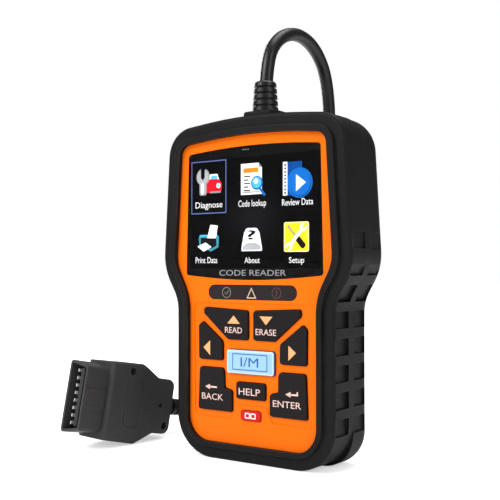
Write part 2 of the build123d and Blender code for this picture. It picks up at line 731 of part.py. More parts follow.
def make_plug_screws():
    screws = []
    for a, w in plug_screw_places:
        head = Pos(a, grip_half_thick - 5.0, w) * Rot(90, 0, 0) * Cylinder(1.9, 1.6)
        shank = Pos(a, 1.0, w) * Rot(90, 0, 0) * Cylinder(1.0, 11.0)
        slot = Pos(a, grip_half_thick - 4.3, w) * (Box(2.2, 0.9, 0.5) + Box(0.5, 0.9, 2.2))
        screws.append(head + shank - slot)
    return screws


def make_plug_relief():
    """Short ringed sleeve where the cable enters the plug, along local -X."""
    base_r = plug_relief_d / 2
    low = -grip_end - 5.0
    points = [(cable_d / 2, low), (base_r + 1.6, low), (base_r + 1.6, low + 2.0), (base_r - 1.2, low + 2.0),
              (base_r - 1.2, low + 5.4), (base_r, low + 5.4), (base_r, low + 9.0), (base_r - 1.0, low + 9.2),
              (base_r - 1.0, low + 10.6), (base_r - 0.2, low + 10.8), (base_r - 0.3, low + 13.4),
              (base_r - 1.1, low + 13.6), (base_r - 1.1, low + 15.0), (base_r - 0.4, low + 15.2),
              (base_r - 0.9, low + plug_relief_length), (cable_d / 2, low + plug_relief_length)]
    return turned(points, Plane(origin=(0, 0, 0), x_dir=(0, 1, 0), z_dir=(-1, 0, 0)))


def place_plug(solid):
    return plug_plane * solid


# ---- build every piece -----------------------------------------------------------------------
parts["rubber_boot"] = make_boot()
parts["front_cover"] = make_front_cover()
parts["rear_cover"] = make_rear_cover()
parts["rear_label"] = plate(Pos(0, label_z) * RectangleRounded(*label_size, 2.0), label_front_y,
                            label_front_y + label_thickness)
parts["display_lens"] = plate(shape(lens_outline), lens_front_y, lens_back_y)
parts["display_gasket"] = plate(shape(panel_outline) - inset(1.6, panel_outline), ledge_back_y, gasket_back_y)
parts["display_panel"] = plate(shape(panel_outline), gasket_back_y, panel_back_y)
holder_outer = inset(-panel_frame_wall, panel_outline)
parts["display_holder"] = (plate(holder_outer, panel_back_y, board_front_y)
                           - plate(inset(6.0, panel_outline), panel_back_y, board_front_y))
for x, z in case_screw_places:
    parts["display_holder"] -= drill(x, z, insert_post_d + 0.6, panel_back_y, board_front_y)
parts["light_strip"] = (plate(shape(strip_outline), case_front_y + 0.1, case_inside_front_y)
                        + plate(inset(-strip_flange, strip_outline), case_inside_front_y, guide_front_y))
guide = plate(Pos(0, strip_z) * Rectangle(2 * strip_half_length - 6, strip_height - 1.2),
              guide_front_y, board_front_y)
led_places = [(offset_x * led_spacing, strip_z) for offset_x in (-1, 0, 1)]
for x, z in led_places:
    guide -= drill(x, z, 5.0, case_inside_front_y, board_front_y)
parts["light_guide"] = guide
parts["status_leds"] = group([box_at(x, board_front_y - led_size[1] / 2, z, led_size) for x, z in led_places])
for key_name in key_outlines:
    parts[key_name] = make_key(key_name)
parts["keypad_mat"] = make_mat()
parts["key_domes"] = group([drill(*key_middle(name), dome_d, board_front_y - dome_thickness, board_front_y)
                            for name in key_outlines])
parts["main_board"] = make_board()
parts["board_chips"] = group(make_chips())
parts["board_passives"] = group(make_passives())
buzzer_x, buzzer_z, buzzer_d, buzzer_h = -24, 66, 12, 5.5
parts["buzzer"] = (drill(buzzer_x, buzzer_z, buzzer_d, board_back_y, board_back_y + buzzer_h)
                   - drill(buzzer_x, buzzer_z, 2, board_back_y + 4, board_back_y + buzzer_h))
parts["cable_header"] = box_at(0, header_y, header_z, (12, 4.8, 4.8))
parts["wire_harness"] = group(make_wires())
usb_shell = box_at(0, usb_y, boot_wall + 0.4 + usb_length / 2, (usb_width, usb_depth, usb_length))
usb_mouth = box_at(0, usb_y, boot_wall + 0.4 + 3, (usb_width - 0.8, usb_depth - 0.8, 6.1))
usb_tongue = box_at(0, usb_y + 0.4, boot_wall + 0.4 + 4.2, (usb_width - 2.8, 0.9, 5.6))
parts["usb_socket"] = usb_shell - usb_mouth + usb_tongue
parts["board_screws"] = group([make_screw(x, z, board_back_y, 5.0, 3.8, board_screw_d * 0.85, 1.4)
                               for x, z in board_screw_places])
parts["thread_inserts"] = group([drill(x, z, insert_d, seam_y - insert_length, seam_y)
                                 - drill(x, z, screw_d, seam_y - insert_length, seam_y)
                                 for x, z in case_screw_places])
parts["case_screws"] = group([
    make_screw(x, z, screw_seat_y, screw_length, screw_head_d, screw_d, screw_head_h)
    for x, z in case_screw_places])
parts["strain_relief"] = make_strain_relief()
parts["cable_upper"] = make_tube(upper_route, cable_d, "cable_upper")
parts["cable_coil"] = make_coil()
parts["coil_tie"] = make_tie()
lower_route = lower_route_start + [plug_point(grip_end - plug_relief_length + 2), plug_point(grip_end + 3)]
parts["cable_lower"] = make_tube(lower_route, cable_d, "cable_lower")
parts["plug_shell"] = place_plug(make_plug_shell())
parts["plug_tongue"] = place_plug(make_plug_tongue())
parts["plug_pins"] = group([place_plug(pin_blade(i, side)) for i in range(pin_count) for side in (-1, 1)])
near_cover, far_cover = make_plug_covers()
parts["plug_cover_near"] = place_plug(near_cover)
parts["plug_cover_far"] = place_plug(far_cover)
parts["plug_screws"] = group([place_plug(s) for s in make_plug_screws()])
parts["plug_strain_relief"] = place_plug(make_plug_relief())

os.makedirs("parts", exist_ok=True)
for node, solid in parts.items():
    export_step(solid, "parts/" + node + ".step")
    print(node, round(solid.volume, 1))
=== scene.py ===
import json
import math

import bmesh
import bpy
from mathutils import Matrix, Vector


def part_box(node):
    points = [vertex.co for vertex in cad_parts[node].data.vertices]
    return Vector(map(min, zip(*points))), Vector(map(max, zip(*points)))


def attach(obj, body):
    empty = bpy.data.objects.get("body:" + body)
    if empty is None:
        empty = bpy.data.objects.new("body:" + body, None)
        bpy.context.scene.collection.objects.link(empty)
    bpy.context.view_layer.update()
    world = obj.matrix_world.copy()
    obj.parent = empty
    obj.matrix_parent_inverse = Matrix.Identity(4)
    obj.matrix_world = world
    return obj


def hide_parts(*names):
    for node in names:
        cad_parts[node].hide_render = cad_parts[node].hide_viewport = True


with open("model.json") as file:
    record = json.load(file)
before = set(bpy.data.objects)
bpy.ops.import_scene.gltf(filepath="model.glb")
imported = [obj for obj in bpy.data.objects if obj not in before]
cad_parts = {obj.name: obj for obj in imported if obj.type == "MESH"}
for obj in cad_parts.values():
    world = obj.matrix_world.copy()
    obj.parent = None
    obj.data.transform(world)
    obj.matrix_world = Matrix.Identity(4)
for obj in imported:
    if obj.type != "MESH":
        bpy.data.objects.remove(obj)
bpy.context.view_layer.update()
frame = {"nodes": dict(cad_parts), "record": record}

nodes = frame["nodes"]
mm = 0.001
print("frame loaded with", len(nodes), "nodes")


def linear(red, green, blue, alpha=1.0):
    # screen colours, 0 to 255, as light values
    parts = []
    for part in (red, green, blue):
        share = part / 255
        parts.append(share / 12.92 if share <= 0.04045 else ((share + 0.055) / 1.055) ** 2.4)
    return (*parts, alpha)

# small helpers for objects and shader nodes
def addObject(name, data):
    made = bpy.data.objects.new(name, data)
    bpy.context.scene.collection.objects.link(made)
    return made


def setInputs(tree, node, inputs):
    # an input takes a plain value or another node's output
    for label, value in inputs.items():
        if isinstance(value, bpy.types.NodeSocket):
            tree.links.new(value, node.inputs[label])
        else:
            node.inputs[label].default_value = value


def addNode(tree, kind, inputs=None, **settings):
    node = tree.nodes.new("ShaderNode" + kind)
    for name, value in settings.items():
        setattr(node, name, value)
    setInputs(tree, node, inputs or {})
    return node


def mathNode(tree, operation, *values):
    return addNode(tree, "Math", dict(enumerate(values)), operation=operation).outputs[0]


def mixColour(tree, factor, first, second, blend="MIX"):
    # sockets 6 and 7 are the node's two colours, and output 2 is their mix
    node = addNode(tree, "Mix", {0: factor, 6: first, 7: second}, data_type="RGBA", blend_type=blend)
    return node.outputs[2]


def objectPlace(tree):
    return addNode(tree, "TexCoord").outputs["Object"]


def startMaterial(name):
    material = bpy.data.materials.new(name)
    material.use_nodes = True
    return material, material.node_tree, material.node_tree.nodes["Principled BSDF"]


# camera, lights and floor
cameraView = {
    "place": (0.2502, -0.36825, 0.09515),
    "aim": (-0.5805, 0.8139, 0.0244),
    "lens": 62.64,
    "sensor": 36.0,
    "clip": (0.01, 50.0),
}
studioLights = [
    # name, place, width, height, watts
    ("keyLight", (-0.55, -1.15, 1.05), 0.9, 0.7, 17.0),
    ("fillLight", (1.25, -0.25, 0.75), 0.7, 0.9, 5.0),
    ("topLight", (0.1, 0.35, 1.5), 1.0, 1.0, 11.0),
    ("rimLight", (-1.1, 0.55, 0.45), 0.35, 0.9, 6.0),
]
lightTarget = (0.0, 0.0, 0.10)
surround = {"seen": 1.0, "diffuse": 0.62, "mirror": 0.16, "white": (1.0, 1.0, 1.0, 1.0),
            "floorGlow": 0.5, "floorColour": (0.93, 0.93, 0.93, 1), "floorRadius": 6.0, "floorSides": 96}


def aimAlong(made, place, direction):
    made.location = place
    made.rotation_euler = Vector(direction).to_track_quat("-Z", "Y").to_euler()


def makeCamera(look):
    data = bpy.data.cameras.new("mainCamera")
    data.lens = look["lens"]
    data.sensor_width = look["sensor"]
    data.clip_start, data.clip_end = look["clip"]
    camera = addObject("mainCamera", data)
    aimAlong(camera, look["place"], look["aim"])
    bpy.context.scene.camera = camera


def makeLights():
    for name, place, width, height, watts in studioLights:
        data = bpy.data.lights.new(name, "AREA")
        data.shape = "RECTANGLE"
        data.size = width
        data.size_y = height
        data.energy = watts
        aimAlong(addObject(name, data), place, Vector(lightTarget) - Vector(place))


def makeSurround(look):
    # plain white behind the object, softer on it, and dim in its gloss
    world = bpy.data.worlds.new("paleStudio")
    world.use_nodes = True
    tree = world.node_tree
    ray = addNode(tree, "LightPath").outputs
    onObject = addNode(tree, "Mix", {"Factor": ray["Is Glossy Ray"], "A": look["diffuse"], "B": look["mirror"]})
    everywhere = addNode(tree, "Mix", {"Factor": ray["Is Camera Ray"], "A": onObject.outputs["Result"],
                                       "B": look["seen"]})
    setInputs(tree, tree.nodes["Background"], {"Color": look["white"], "Strength": everywhere.outputs["Result"]})
    bpy.context.scene.world = world
    bpy.context.scene.view_settings.view_transform = "Standard"


def makeFloor(look):
    mesh = bpy.data.meshes.new("studioFloor")
    sides, radius = look["floorSides"], look["floorRadius"]
    turns = [2 * math.pi * i / sides for i in range(sides)]
    mesh.from_pydata([(radius * math.cos(turn), radius * math.sin(turn), 0) for turn in turns], [],
                     [list(range(sides))])
    material, tree, shader = startMaterial("paleFloor")
    seen = addNode(tree, "LightPath").outputs["Is Camera Ray"]
    setInputs(tree, shader, {"Base Color": look["floorColour"], "Roughness": 0.9, "Specular IOR Level": 0.1,
                             "Emission Color": look["white"],
                             "Emission Strength": mathNode(tree, "MULTIPLY", seen, look["floorGlow"])})
    mesh.materials.append(material)
    addObject("studioFloor", mesh)


makeCamera(cameraView)
makeLights()
makeSurround(surround)
makeFloor(surround)
print("camera, lights and floor made")

# cable: the free route repeats the CAD tube's points, and the coil's turns are worked out between them
cable = {
    "thickness": 7.0,
    "upper": [(0, -4, 172), (0, -4, 202), (0, 8.5, 218), (0, 28, 224), (0, 47, 218.5), (0, 59, 202.5),
              (0, 61.5, 168), (-1.5, 58, 118), (-4.5, 49, 74), (-6.6, 44.5, 42), (-7.2, 54, 18),
              (-6.7, 78, 11.5)],
    "lower": [(-89.4, 77.0, 4.6), (-88.2, 57.0, 6.6), (-84.73, 38.37, 12.66), (-88.23, 14.06, 17.34)],
    "coilCentre": (-48.0, 80.0),
    "outerTurn": 41.5,
    "innerTurn": 34.5,
    "upperLayer": 11.5,
    "lowerLayer": 4.5,
    "pointsPerTurn": 16,
    "lastAngle": 1237.5,
    "exit": (0.0, -4.0, 191.5),
    "length": 1.2,
}


def eased(angle, start, end):
    share = min(max((angle - start) / (end - start), 0), 1)
    return share * share * (3 - 2 * share)


def coilPoints(look):
    # one top outer turn, in and down through the inner turns, then half a turn outside at the bottom
    step = 360 / look["pointsPerTurn"]
    grow = 1 / math.cos(math.radians(step / 2))
    points = []
    angle = step
    while angle <= look["lastAngle"]:
        inward = eased(angle, 318, 352) - eased(angle, 988, 1028)
        drop = eased(angle, 180, 212) - eased(angle, 228, 266) + eased(angle, 660, 698)
        radius = look["outerTurn"] + (look["innerTurn"] - look["outerTurn"]) * inward
        height = look["upperLayer"] + (look["lowerLayer"] - look["upperLayer"]) * drop
        turn = math.radians(angle)
        points.append((look["coilCentre"][0] + radius * grow * math.cos(turn),
                       look["coilCentre"][1] + radius * grow * math.sin(turn), height))
        angle += step
    return points


def curveMesh(curve):
    holder = bpy.data.objects.new(curve.name, curve)
    mesh = bpy.data.meshes.new_from_object(holder)
    bpy.data.objects.remove(holder)
    return mesh


def makeCable(look):
    curve = bpy.data.curves.new("cableRoute", "CURVE")
    curve.dimensions = "3D"
    spline = curve.splines.new("NURBS")
    route = look["upper"] + coilPoints(look) + look["lower"]
    spline.points.add(len(route) - 1)
    for point, place in zip(spline.points, route):
        point.co = (place[0] * mm, place[1] * mm, place[2] * mm, 1)
    spline.order_u = 3
    spline.use_endpoint_u = True
    spline.use_smooth = True
    curve.resolution_u = 8
    line = curveMesh(curve)
    bpy.data.meshes.remove(line)
    curve.bevel_depth = look["thickness"] / 2 * mm
    curve.bevel_resolution = 6
    curve.use_fill_caps = True
    tube = curveMesh(curve)
    bpy.data.curves.remove(curve)
    tube.name = "reader_cable"
    shaped = bmesh.new()
    shaped.from_mesh(tube)
    bmesh.ops.remove_doubles(shaped, verts=shaped.verts, dist=2e-6)
    bmesh.ops.recalc_face_normals(shaped, faces=shaped.faces)
    for face in shaped.faces:
        face.smooth = len(face.verts) == 4
    shaped.to_mesh(tube)
    shaped.free()
    cord = addObject("reader_cable", tube)
    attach(cord, "reader")
    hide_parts("cable_upper", "cable_coil", "cable_lower")
    return cord


cableCord = makeCable(cable)
print("cable laid")

# shader effects shared by several finishes
def newGroup(name, inputs, outputs):
    # a tuple is a colour, and any other value a number; of the outputs only Color is a colour
    group = bpy.data.node_groups.new(name, "ShaderNodeTree")
    for label, value in inputs.items():
        kind = "NodeSocketColor" if isinstance(value, tuple) else "NodeSocketFloat"
        group.interface.new_socket(label, in_out="INPUT", socket_type=kind).default_value = value
    for label in outputs:
        kind = "NodeSocketColor" if label == "Color" else "NodeSocketFloat"
        group.interface.new_socket(label, in_out="OUTPUT", socket_type=kind)
    return group, group.nodes.new("NodeGroupInput").outputs, group.nodes.new("NodeGroupOutput")


plainColour = (0.5, 0.5, 0.5, 1)
plainSecond = (0.6, 0.6, 0.6, 1)


def makeMouldGrain():
    # the fine spark-eroded texture of a mould
    group, given, result = newGroup("mouldGrain", {"Scale": 2600.0, "Pits": 0.5}, ["Height"])
    shared = {"Vector": objectPlace(group), "Scale": given["Scale"]}
    noise = addNode(group, "TexNoise", {**shared, "Detail": 3.0, "Roughness": 0.6})
    cells = addNode(group, "TexVoronoi", shared, feature="SMOOTH_F1")
    pits = mathNode(group, "MULTIPLY", cells.outputs["Distance"], given["Pits"])
    setInputs(group, result, {"Height": mathNode(group, "ADD", noise.outputs[0], pits)})
    return group


def makeHandling():
    # broad uneven tone, and finger grease that changes the gloss, on a tool in use
    group, given, result = newGroup(
        "handling", {"Color": plainColour, "Worn Color": plainSecond, "Amount": 0.3, "Scale": 25.0,
                     "Roughness": 0.5, "Roughness Spread": 0.1}, ["Color", "Roughness"])
    where = objectPlace(group)
    fine = mathNode(group, "MULTIPLY", given["Scale"], 3.1)
    broad = addNode(group, "TexNoise", {"Vector": where, "Scale": given["Scale"], "Detail": 4.0})
    smears = addNode(group, "TexNoise", {"Vector": where, "Scale": fine, "Detail": 6.0, "Distortion": 1.5})
    spread = addNode(group, "MapRange", {"Value": broad.outputs[0], "From Min": 0.35, "From Max": 0.72})
    share = mathNode(group, "MULTIPLY", spread.outputs[0], given["Amount"])
    offset = mathNode(group, "SUBTRACT", smears.outputs[0], 0.5)
    swing = mathNode(group, "MULTIPLY", offset, given["Roughness Spread"])
    setInputs(group, result, {"Color": mixColour(group, share, given["Color"], given["Worn Color"]),
                              "Roughness": mathNode(group, "ADD", given["Roughness"], swing)})
    return group


def makeEdgeWearAndHighlight():
    # finds outside edges and lightens them: partly the polish of handling, partly a painted highlight like the
    # light lines along the rims
    group, given, result = newGroup(
        "edgeRub", {"Color": plainColour, "Wear And Highlight Color": plainSecond, "Amount": 0.4, "Patch Scale": 90.0},
        ["Color"])
    rounded = addNode(group, "Bevel", {"Radius": 0.0006}, samples=4)
    turned = addNode(group, "VectorMath", {0: addNode(group, "NewGeometry").outputs["Normal"],
                                           1: rounded.outputs["Normal"]}, operation="DOT_PRODUCT")
    edge = addNode(group, "MapRange", {"Value": turned.outputs["Value"], "From Min": 0.995, "From Max": 0.86})
    patches = addNode(group, "TexNoise", {"Vector": objectPlace(group), "Scale": given["Patch Scale"],
                                          "Detail": 5.0})
    patchShare = addNode(group, "MapRange", {"Value": patches.outputs[0], "From Min": 0.38, "From Max": 0.62})
    share = mathNode(group, "MULTIPLY", edge.outputs[0], patchShare.outputs[0])
    mask = mathNode(group, "MULTIPLY", share, given["Amount"])
    setInputs(group, result, {"Color": mixColour(group, mask, given["Color"], given["Wear And Highlight Color"])})
    return group


def makeWeave():
    # over-and-under threads of a narrow woven strap
    group, given, result = newGroup(
        "wovenStrap", {"Color": plainColour, "Thread Color": plainSecond, "Threads per Metre": 1400.0},
        ["Color", "Height"])
    shared = {"Vector": objectPlace(group), "Distortion": 0.6,
              "Scale": mathNode(group, "MULTIPLY", given["Threads per Metre"], 0.31)}
    waves = [addNode(group, "TexWave", shared, bands_direction=direction).outputs["Fac"]
             for direction in ("X", "DIAGONAL")]
    height = mathNode(group, "MAXIMUM", *waves)
    setInputs(group, result, {"Color": mixColour(group, height, given["Color"], given["Thread Color"]),
                              "Height": height})
    return group


mouldGrain = makeMouldGrain()
handling = makeHandling()
edgeRub = makeEdgeWearAndHighlight()
wovenStrap = makeWeave()


def placeGroup(tree, group, inputs):
    return addNode(tree, "Group", inputs, node_tree=group).outputs


def bumpInto(tree, shader, height, depth, strength):
    bump = addNode(tree, "Bump", {"Height": height, "Distance": depth, "Strength": strength})
    setInputs(tree, shader, {"Normal": bump.outputs["Normal"]})


def paintedShadeOnFlanks(tree, colour, flankShade):
    # the sides of a key, which face away from its front, in a deeper colour: painted shade on the flanks, set by
    # the way each face points
    normal = addNode(tree, "SeparateXYZ", {0: addNode(tree, "NewGeometry").outputs["Normal"]})
    forward = addNode(tree, "MapRange", {"Value": mathNode(tree, "ABSOLUTE", normal.outputs["Y"]),
                                         "From Min": 0.08, "From Max": 0.3})
    return mixColour(tree, forward.outputs[0], flankShade, colour)


def mouldedFinish(name, look):
    # any moulded plastic or rubber: grain, uneven tone, lighter outside edges that are partly rubbed wear and
    # partly painted highlight, and on some keys painted shade on the sides
    material, tree, shader = startMaterial(name)
    worn = placeGroup(tree, handling, {
        "Color": look["colour"], "Worn Color": look.get("worn", look["colour"]),
        "Amount": look.get("amount", 0.3), "Scale": look.get("patch", 22.0),
        "Roughness": look["roughness"], "Roughness Spread": look.get("spread", 0.12)})
    colour = worn["Color"]
    # painted shade: the key's sides take a deeper colour by the way they face
    if "flankShade" in look:
        colour = paintedShadeOnFlanks(tree, colour, look["flankShade"])
    # lighter outside edges: partly rubbed wear, partly a painted highlight
    if "edge" in look:
        colour = placeGroup(tree, edgeRub, {"Color": colour, "Wear And Highlight Color": look["edge"],
                                            "Amount": look["edgeAmount"]})["Color"]
    setInputs(tree, shader, {"Base Color": colour, "Roughness": worn["Roughness"],
                             "Specular IOR Level": look.get("specular", 0.5),
                             "Metallic": look.get("metallic", 0.0)})
    grain = placeGroup(tree, mouldGrain, {"Scale": look.get("grain", 2600.0), "Pits": look.get("pits", 0.5)})
    bumpInto(tree, shader, grain["Height"], look.get("depth", 0.00002), look.get("bump", 0.5))
    return material


def clearLens(look):
    # clear hard-coated window with faint wiping marks
    material, tree, shader = startMaterial("clearLens")
    wiped = placeGroup(tree, handling, {"Roughness": look["roughness"], "Roughness Spread": look["spread"],
                                        "Scale": 14.0, "Amount": 0.0})
    setInputs(tree, shader, {"Base Color": look["tint"], "Transmission Weight": 1.0, "IOR": look["ior"],
                             "Specular IOR Level": look["specular"], "Roughness": wiped["Roughness"]})
    return material


def glowingInk(name, colour, strength):
    # picture elements of the display: a fine raster that gives off light
    material, tree, shader = startMaterial(name)
    raster = addNode(tree, "TexWave", {"Vector": objectPlace(tree), "Scale": 1150.0}, bands_direction="X")
    shade = addNode(tree, "MapRange", {"Value": raster.outputs["Fac"], "To Min": 0.86, "To Max": 1.0})
    lit = mixColour(tree, 1.0, colour, shade.outputs[0], "MULTIPLY")
    setInputs(tree, shader, {"Emission Color": lit, "Base Color": lit, "Emission Strength": strength,
                             "Roughness": 0.5, "Specular IOR Level": 0.1})
    return material


def displayBlack(look):
    # the unlit ground of the display, with a faint glow of the backlight at its middle
    material, tree, shader = startMaterial("displayBlack")
    centred = addNode(tree, "Mapping", {"Vector": objectPlace(tree), "Location": look["middle"],
                                        "Scale": look["reach"]}, vector_type="TEXTURE")
    fading = addNode(tree, "TexGradient", {"Vector": centred.outputs["Vector"]}, gradient_type="QUADRATIC_SPHERE")
    lit = mixColour(tree, fading.outputs["Fac"], look["dark"], look["glow"])
    setInputs(tree, shader, {"Emission Color": lit, "Emission Strength": 1.0, "Base Color": look["dark"],
                             "Roughness": 0.3, "Specular IOR Level": 0.05})
    return material


def boardLaminate(look):
    # green solder mask over copper tracks, with bright tinned dots
    material, tree, shader = startMaterial("boardLaminate")
    where = objectPlace(tree)
    turned = addNode(tree, "Mapping", {"Vector": where, "Rotation": (math.pi / 2, 0, 0)})
    tracks = addNode(tree, "TexBrick", {"Vector": turned.outputs["Vector"], "Scale": look["tracks"],
                                        "Mortar Size": 0.06, "Color1": look["mask"], "Color2": look["mask"],
                                        "Mortar": look["track"]})
    dots = addNode(tree, "TexVoronoi", {"Vector": where, "Scale": look["dots"]})
    dot = mathNode(tree, "LESS_THAN", dots.outputs["Distance"], 0.16)
    setInputs(tree, shader, {"Base Color": mixColour(tree, dot, tracks.outputs["Color"], look["tin"]),
                             "Metallic": dot, "Roughness": 0.35})
    bumpInto(tree, shader, tracks.outputs["Fac"], 0.00003, 0.4)
    return material


def strapFabric(look):
    material, tree, shader = startMaterial("strapFabric")
    weave = placeGroup(tree, wovenStrap, {"Color": look["colour"], "Thread Color": look["thread"],
                                          "Threads per Metre": look["threads"]})
    setInputs(tree, shader, {"Base Color": weave["Color"], "Roughness": 0.85, "Sheen Weight": 0.25,
                             "Specular IOR Level": 0.2})
    bumpInto(tree, shader, weave["Height"], 0.00012, 0.8)
    return material


# finishes, by the part's own material slots
# the edge colours below lighten outside edges: partly wear, partly painted highlight
mouldedLooks = {
    "boot_rubber": {"colour": linear(17, 17, 18), "worn": linear(24, 24, 25), "edge": linear(96, 97, 99),
                    "edgeAmount": 0.4, "roughness": 0.5, "spread": 0.16, "specular": 0.15, "grain": 2300.0,
                    "depth": 0.00005, "bump": 0.5, "amount": 0.5},
    "orange_plastic": {"colour": linear(250, 112, 4), "worn": linear(252, 102, 0), "amount": 0.35,
                       "patch": 12.0, "roughness": 0.36, "spread": 0.1, "specular": 0.1, "grain": 3200.0,
                       "depth": 0.000018, "bump": 0.3},
    "black_plastic": {"colour": linear(26, 26, 28), "worn": linear(33, 33, 35), "roughness": 0.48,
                      "specular": 0.3, "depth": 0.00003, "edge": linear(80, 80, 82), "edgeAmount": 0.3},
    "label_film": {"colour": linear(196, 198, 200), "worn": linear(206, 207, 208), "roughness": 0.32,
                   "grain": 900.0, "depth": 0.00001},
    "foam_rubber": {"colour": linear(30, 30, 30), "roughness": 0.95, "grain": 1500.0, "pits": 1.4,
                    "depth": 0.00015, "bump": 0.9, "specular": 0.2},
    "panel_glass": {"colour": linear(7, 7, 9), "worn": linear(10, 10, 13), "roughness": 0.18,
                    "spread": 0.04, "specular": 0.25, "depth": 0.000004, "bump": 0.1},
    "holder_plastic": {"colour": linear(222, 222, 218), "worn": linear(206, 204, 198), "roughness": 0.45},
    "strip_plastic": {"colour": linear(36, 28, 29), "worn": linear(44, 34, 34), "roughness": 0.3,
                      "spread": 0.06, "specular": 0.2, "depth": 0.000006, "bump": 0.15},
    "led_plastic": {"colour": linear(236, 232, 205), "worn": linear(244, 238, 190), "roughness": 0.2},
    "key_plastic": {"colour": linear(17, 11, 13), "worn": linear(24, 17, 19), "roughness": 0.44,
                    "spread": 0.12, "specular": 0.2, "grain": 3000.0, "depth": 0.00002,
                    "edge": linear(74, 60, 60), "edgeAmount": 0.2},
    "blue_key_plastic": {"colour": linear(190, 216, 236), "worn": linear(180, 208, 232), "roughness": 0.32,
                         # the flank colour below is painted shade on the key's sides
                         "specular": 0.4, "depth": 0.000012, "bump": 0.25, "flankShade": linear(30, 78, 138)},
    "red_key_plastic": {"colour": linear(200, 6, 10), "worn": linear(186, 4, 8), "roughness": 0.3,
                        "specular": 0.25, "depth": 0.000012, "bump": 0.25},
    "mat_silicone": {"colour": linear(150, 152, 156), "worn": linear(160, 162, 164), "roughness": 0.7,
                     "depth": 0.00003},
    "spring_steel": {"colour": (0.62, 0.61, 0.58, 1), "worn": (0.52, 0.51, 0.48, 1), "roughness": 0.28,
                     "metallic": 1.0, "grain": 5000.0, "depth": 0.000006},
    "chip_epoxy": {"colour": linear(34, 34, 36), "worn": linear(44, 44, 46), "roughness": 0.6,
                   "grain": 6000.0, "depth": 0.00002},
    "part_aluminium": {"colour": (0.72, 0.73, 0.75, 1), "worn": (0.6, 0.61, 0.63, 1), "roughness": 0.35,
                       "metallic": 1.0, "grain": 4000.0, "depth": 0.00001},
    "connector_plastic": {"colour": linear(228, 222, 204), "worn": linear(214, 206, 184), "roughness": 0.4},
    "wire_sleeve": {"colour": linear(190, 30, 28), "worn": linear(160, 22, 22), "roughness": 0.45},
    "screw_steel": {"colour": (0.30, 0.30, 0.31, 1), "worn": (0.42, 0.41, 0.40, 1), "roughness": 0.38,
                    "metallic": 1.0, "grain": 4500.0, "depth": 0.00001},
    "insert_brass": {"colour": (0.72, 0.50, 0.18, 1), "worn": (0.58, 0.38, 0.14, 1), "roughness": 0.32,
                     "metallic": 1.0, "grain": 4500.0, "depth": 0.00001},
    "cable_rubber": {"colour": linear(15, 15, 16), "worn": linear(21, 21, 22), "edge": linear(60, 60, 62),
                     "edgeAmount": 0.2, "roughness": 0.36, "spread": 0.14, "specular": 0.4, "grain": 1800.0,
                     "depth": 0.00003, "bump": 0.35},
    "plug_plastic": {"colour": linear(55, 55, 56), "worn": linear(62, 62, 63), "edge": linear(104, 104, 106),
                     "edgeAmount": 0.35, "roughness": 0.5, "spread": 0.12, "specular": 0.25, "grain": 2400.0,
                     "depth": 0.00004, "bump": 0.6},
    "pin_metal": {"colour": (0.95, 0.93, 0.88, 1), "worn": (0.85, 0.83, 0.78, 1), "roughness": 0.4,
                  "metallic": 0.4, "grain": 5000.0, "depth": 0.000006},
}
finishes = {name: mouldedFinish(name, look) for name, look in mouldedLooks.items()}
finishes["lens_plastic"] = clearLens({"tint": linear(244, 245, 247), "ior": 1.24, "specular": 0.2,
                                      "roughness": 0.02, "spread": 0.02})
finishes["board_laminate"] = boardLaminate({"mask": linear(14, 88, 46), "track": linear(34, 122, 70),
                                            "tin": (0.7, 0.7, 0.66, 1), "tracks": 260.0, "dots": 420.0})
finishes["tie_fabric"] = strapFabric({"colour": linear(22, 22, 23), "thread": linear(52, 52, 54),
                                      "threads": 1500.0})
slotOf = {part["node"]: part["material_slot"] for part in frame["record"]["subparts"]}
for name, obj in nodes.items():
    finish = finishes[slotOf[name]]
    if not obj.material_slots:
        obj.data.materials.append(finish)
    for place in obj.material_slots:
        place.material = finish
cableCord.data.materials.append(finishes["cable_rubber"])
print("finishes given to", len(nodes), "nodes")


# flat printed shapes: outlines are lists of (x, z) in millimetres
def disc(x, z, r, sides=28, start=0.0, end=360.0):
    count = sides if abs(end - start) >= 360 else sides + 1
    return [(x + r * math.cos(math.radians(start + (end - start) * i / sides)),
             z + r * math.sin(math.radians(start + (end - start) * i / sides))) for i in range(count)]


def roundedBox(x0, z0, x1, z1, r, steps=5):
    points = []
    for x, z, first in ((x1 - r, z1 - r, 0), (x0 + r, z1 - r, 90), (x0 + r, z0 + r, 180), (x1 - r, z0 + r, 270)):
        points += [(x + r * math.cos(math.radians(first + 90 * i / steps)),
                    z + r * math.sin(math.radians(first + 90 * i / steps))) for i in range(steps + 1)]
    return points


def stroke(points, width):
    # an open line with square ends, given its width
    left, right = [], []
    for i, (x, z) in enumerate(points):
        ax, az = points[max(i - 1, 0)]
        bx, bz = points[min(i + 1, len(points) - 1)]
        length = math.hypot(bx - ax, bz - az)
        nx, nz = -(bz - az) / length, (bx - ax) / length
        left.append((x + nx * width / 2, z + nz * width / 2))
        right.append((x - nx * width / 2, z - nz * width / 2))
    return left + right[::-1]


def placed(outline, x=0.0, z=0.0, turn=0.0, scale=1.0):
    c, s = math.cos(math.radians(turn)) * scale, math.sin(math.radians(turn)) * scale
    return [(x + px * c - pz * s, z + px * s + pz * c) for px, pz in outline]


def flatMesh(outlines, thick):
    # outlines inside others are holes; the shape lies in X and Y, half of its thickness each side
    curve = bpy.data.curves.new("printOutline", "CURVE")
    curve.dimensions = "2D"
    curve.fill_mode = "BOTH"
    curve.extrude = thick / 2 * mm
    for outline in outlines:
        spline = curve.splines.new("POLY")
        spline.points.add(len(outline) - 1)
        for point, (x, z) in zip(spline.points, outline):
            point.co = (x * mm, z * mm, 0, 1)
        spline.use_cyclic_u = True
    holder = bpy.data.objects.new("printOutline", curve)
    mesh = bpy.data.meshes.new_from_object(holder)
    bpy.data.objects.remove(holder)
    bpy.data.curves.remove(curve)
    return mesh


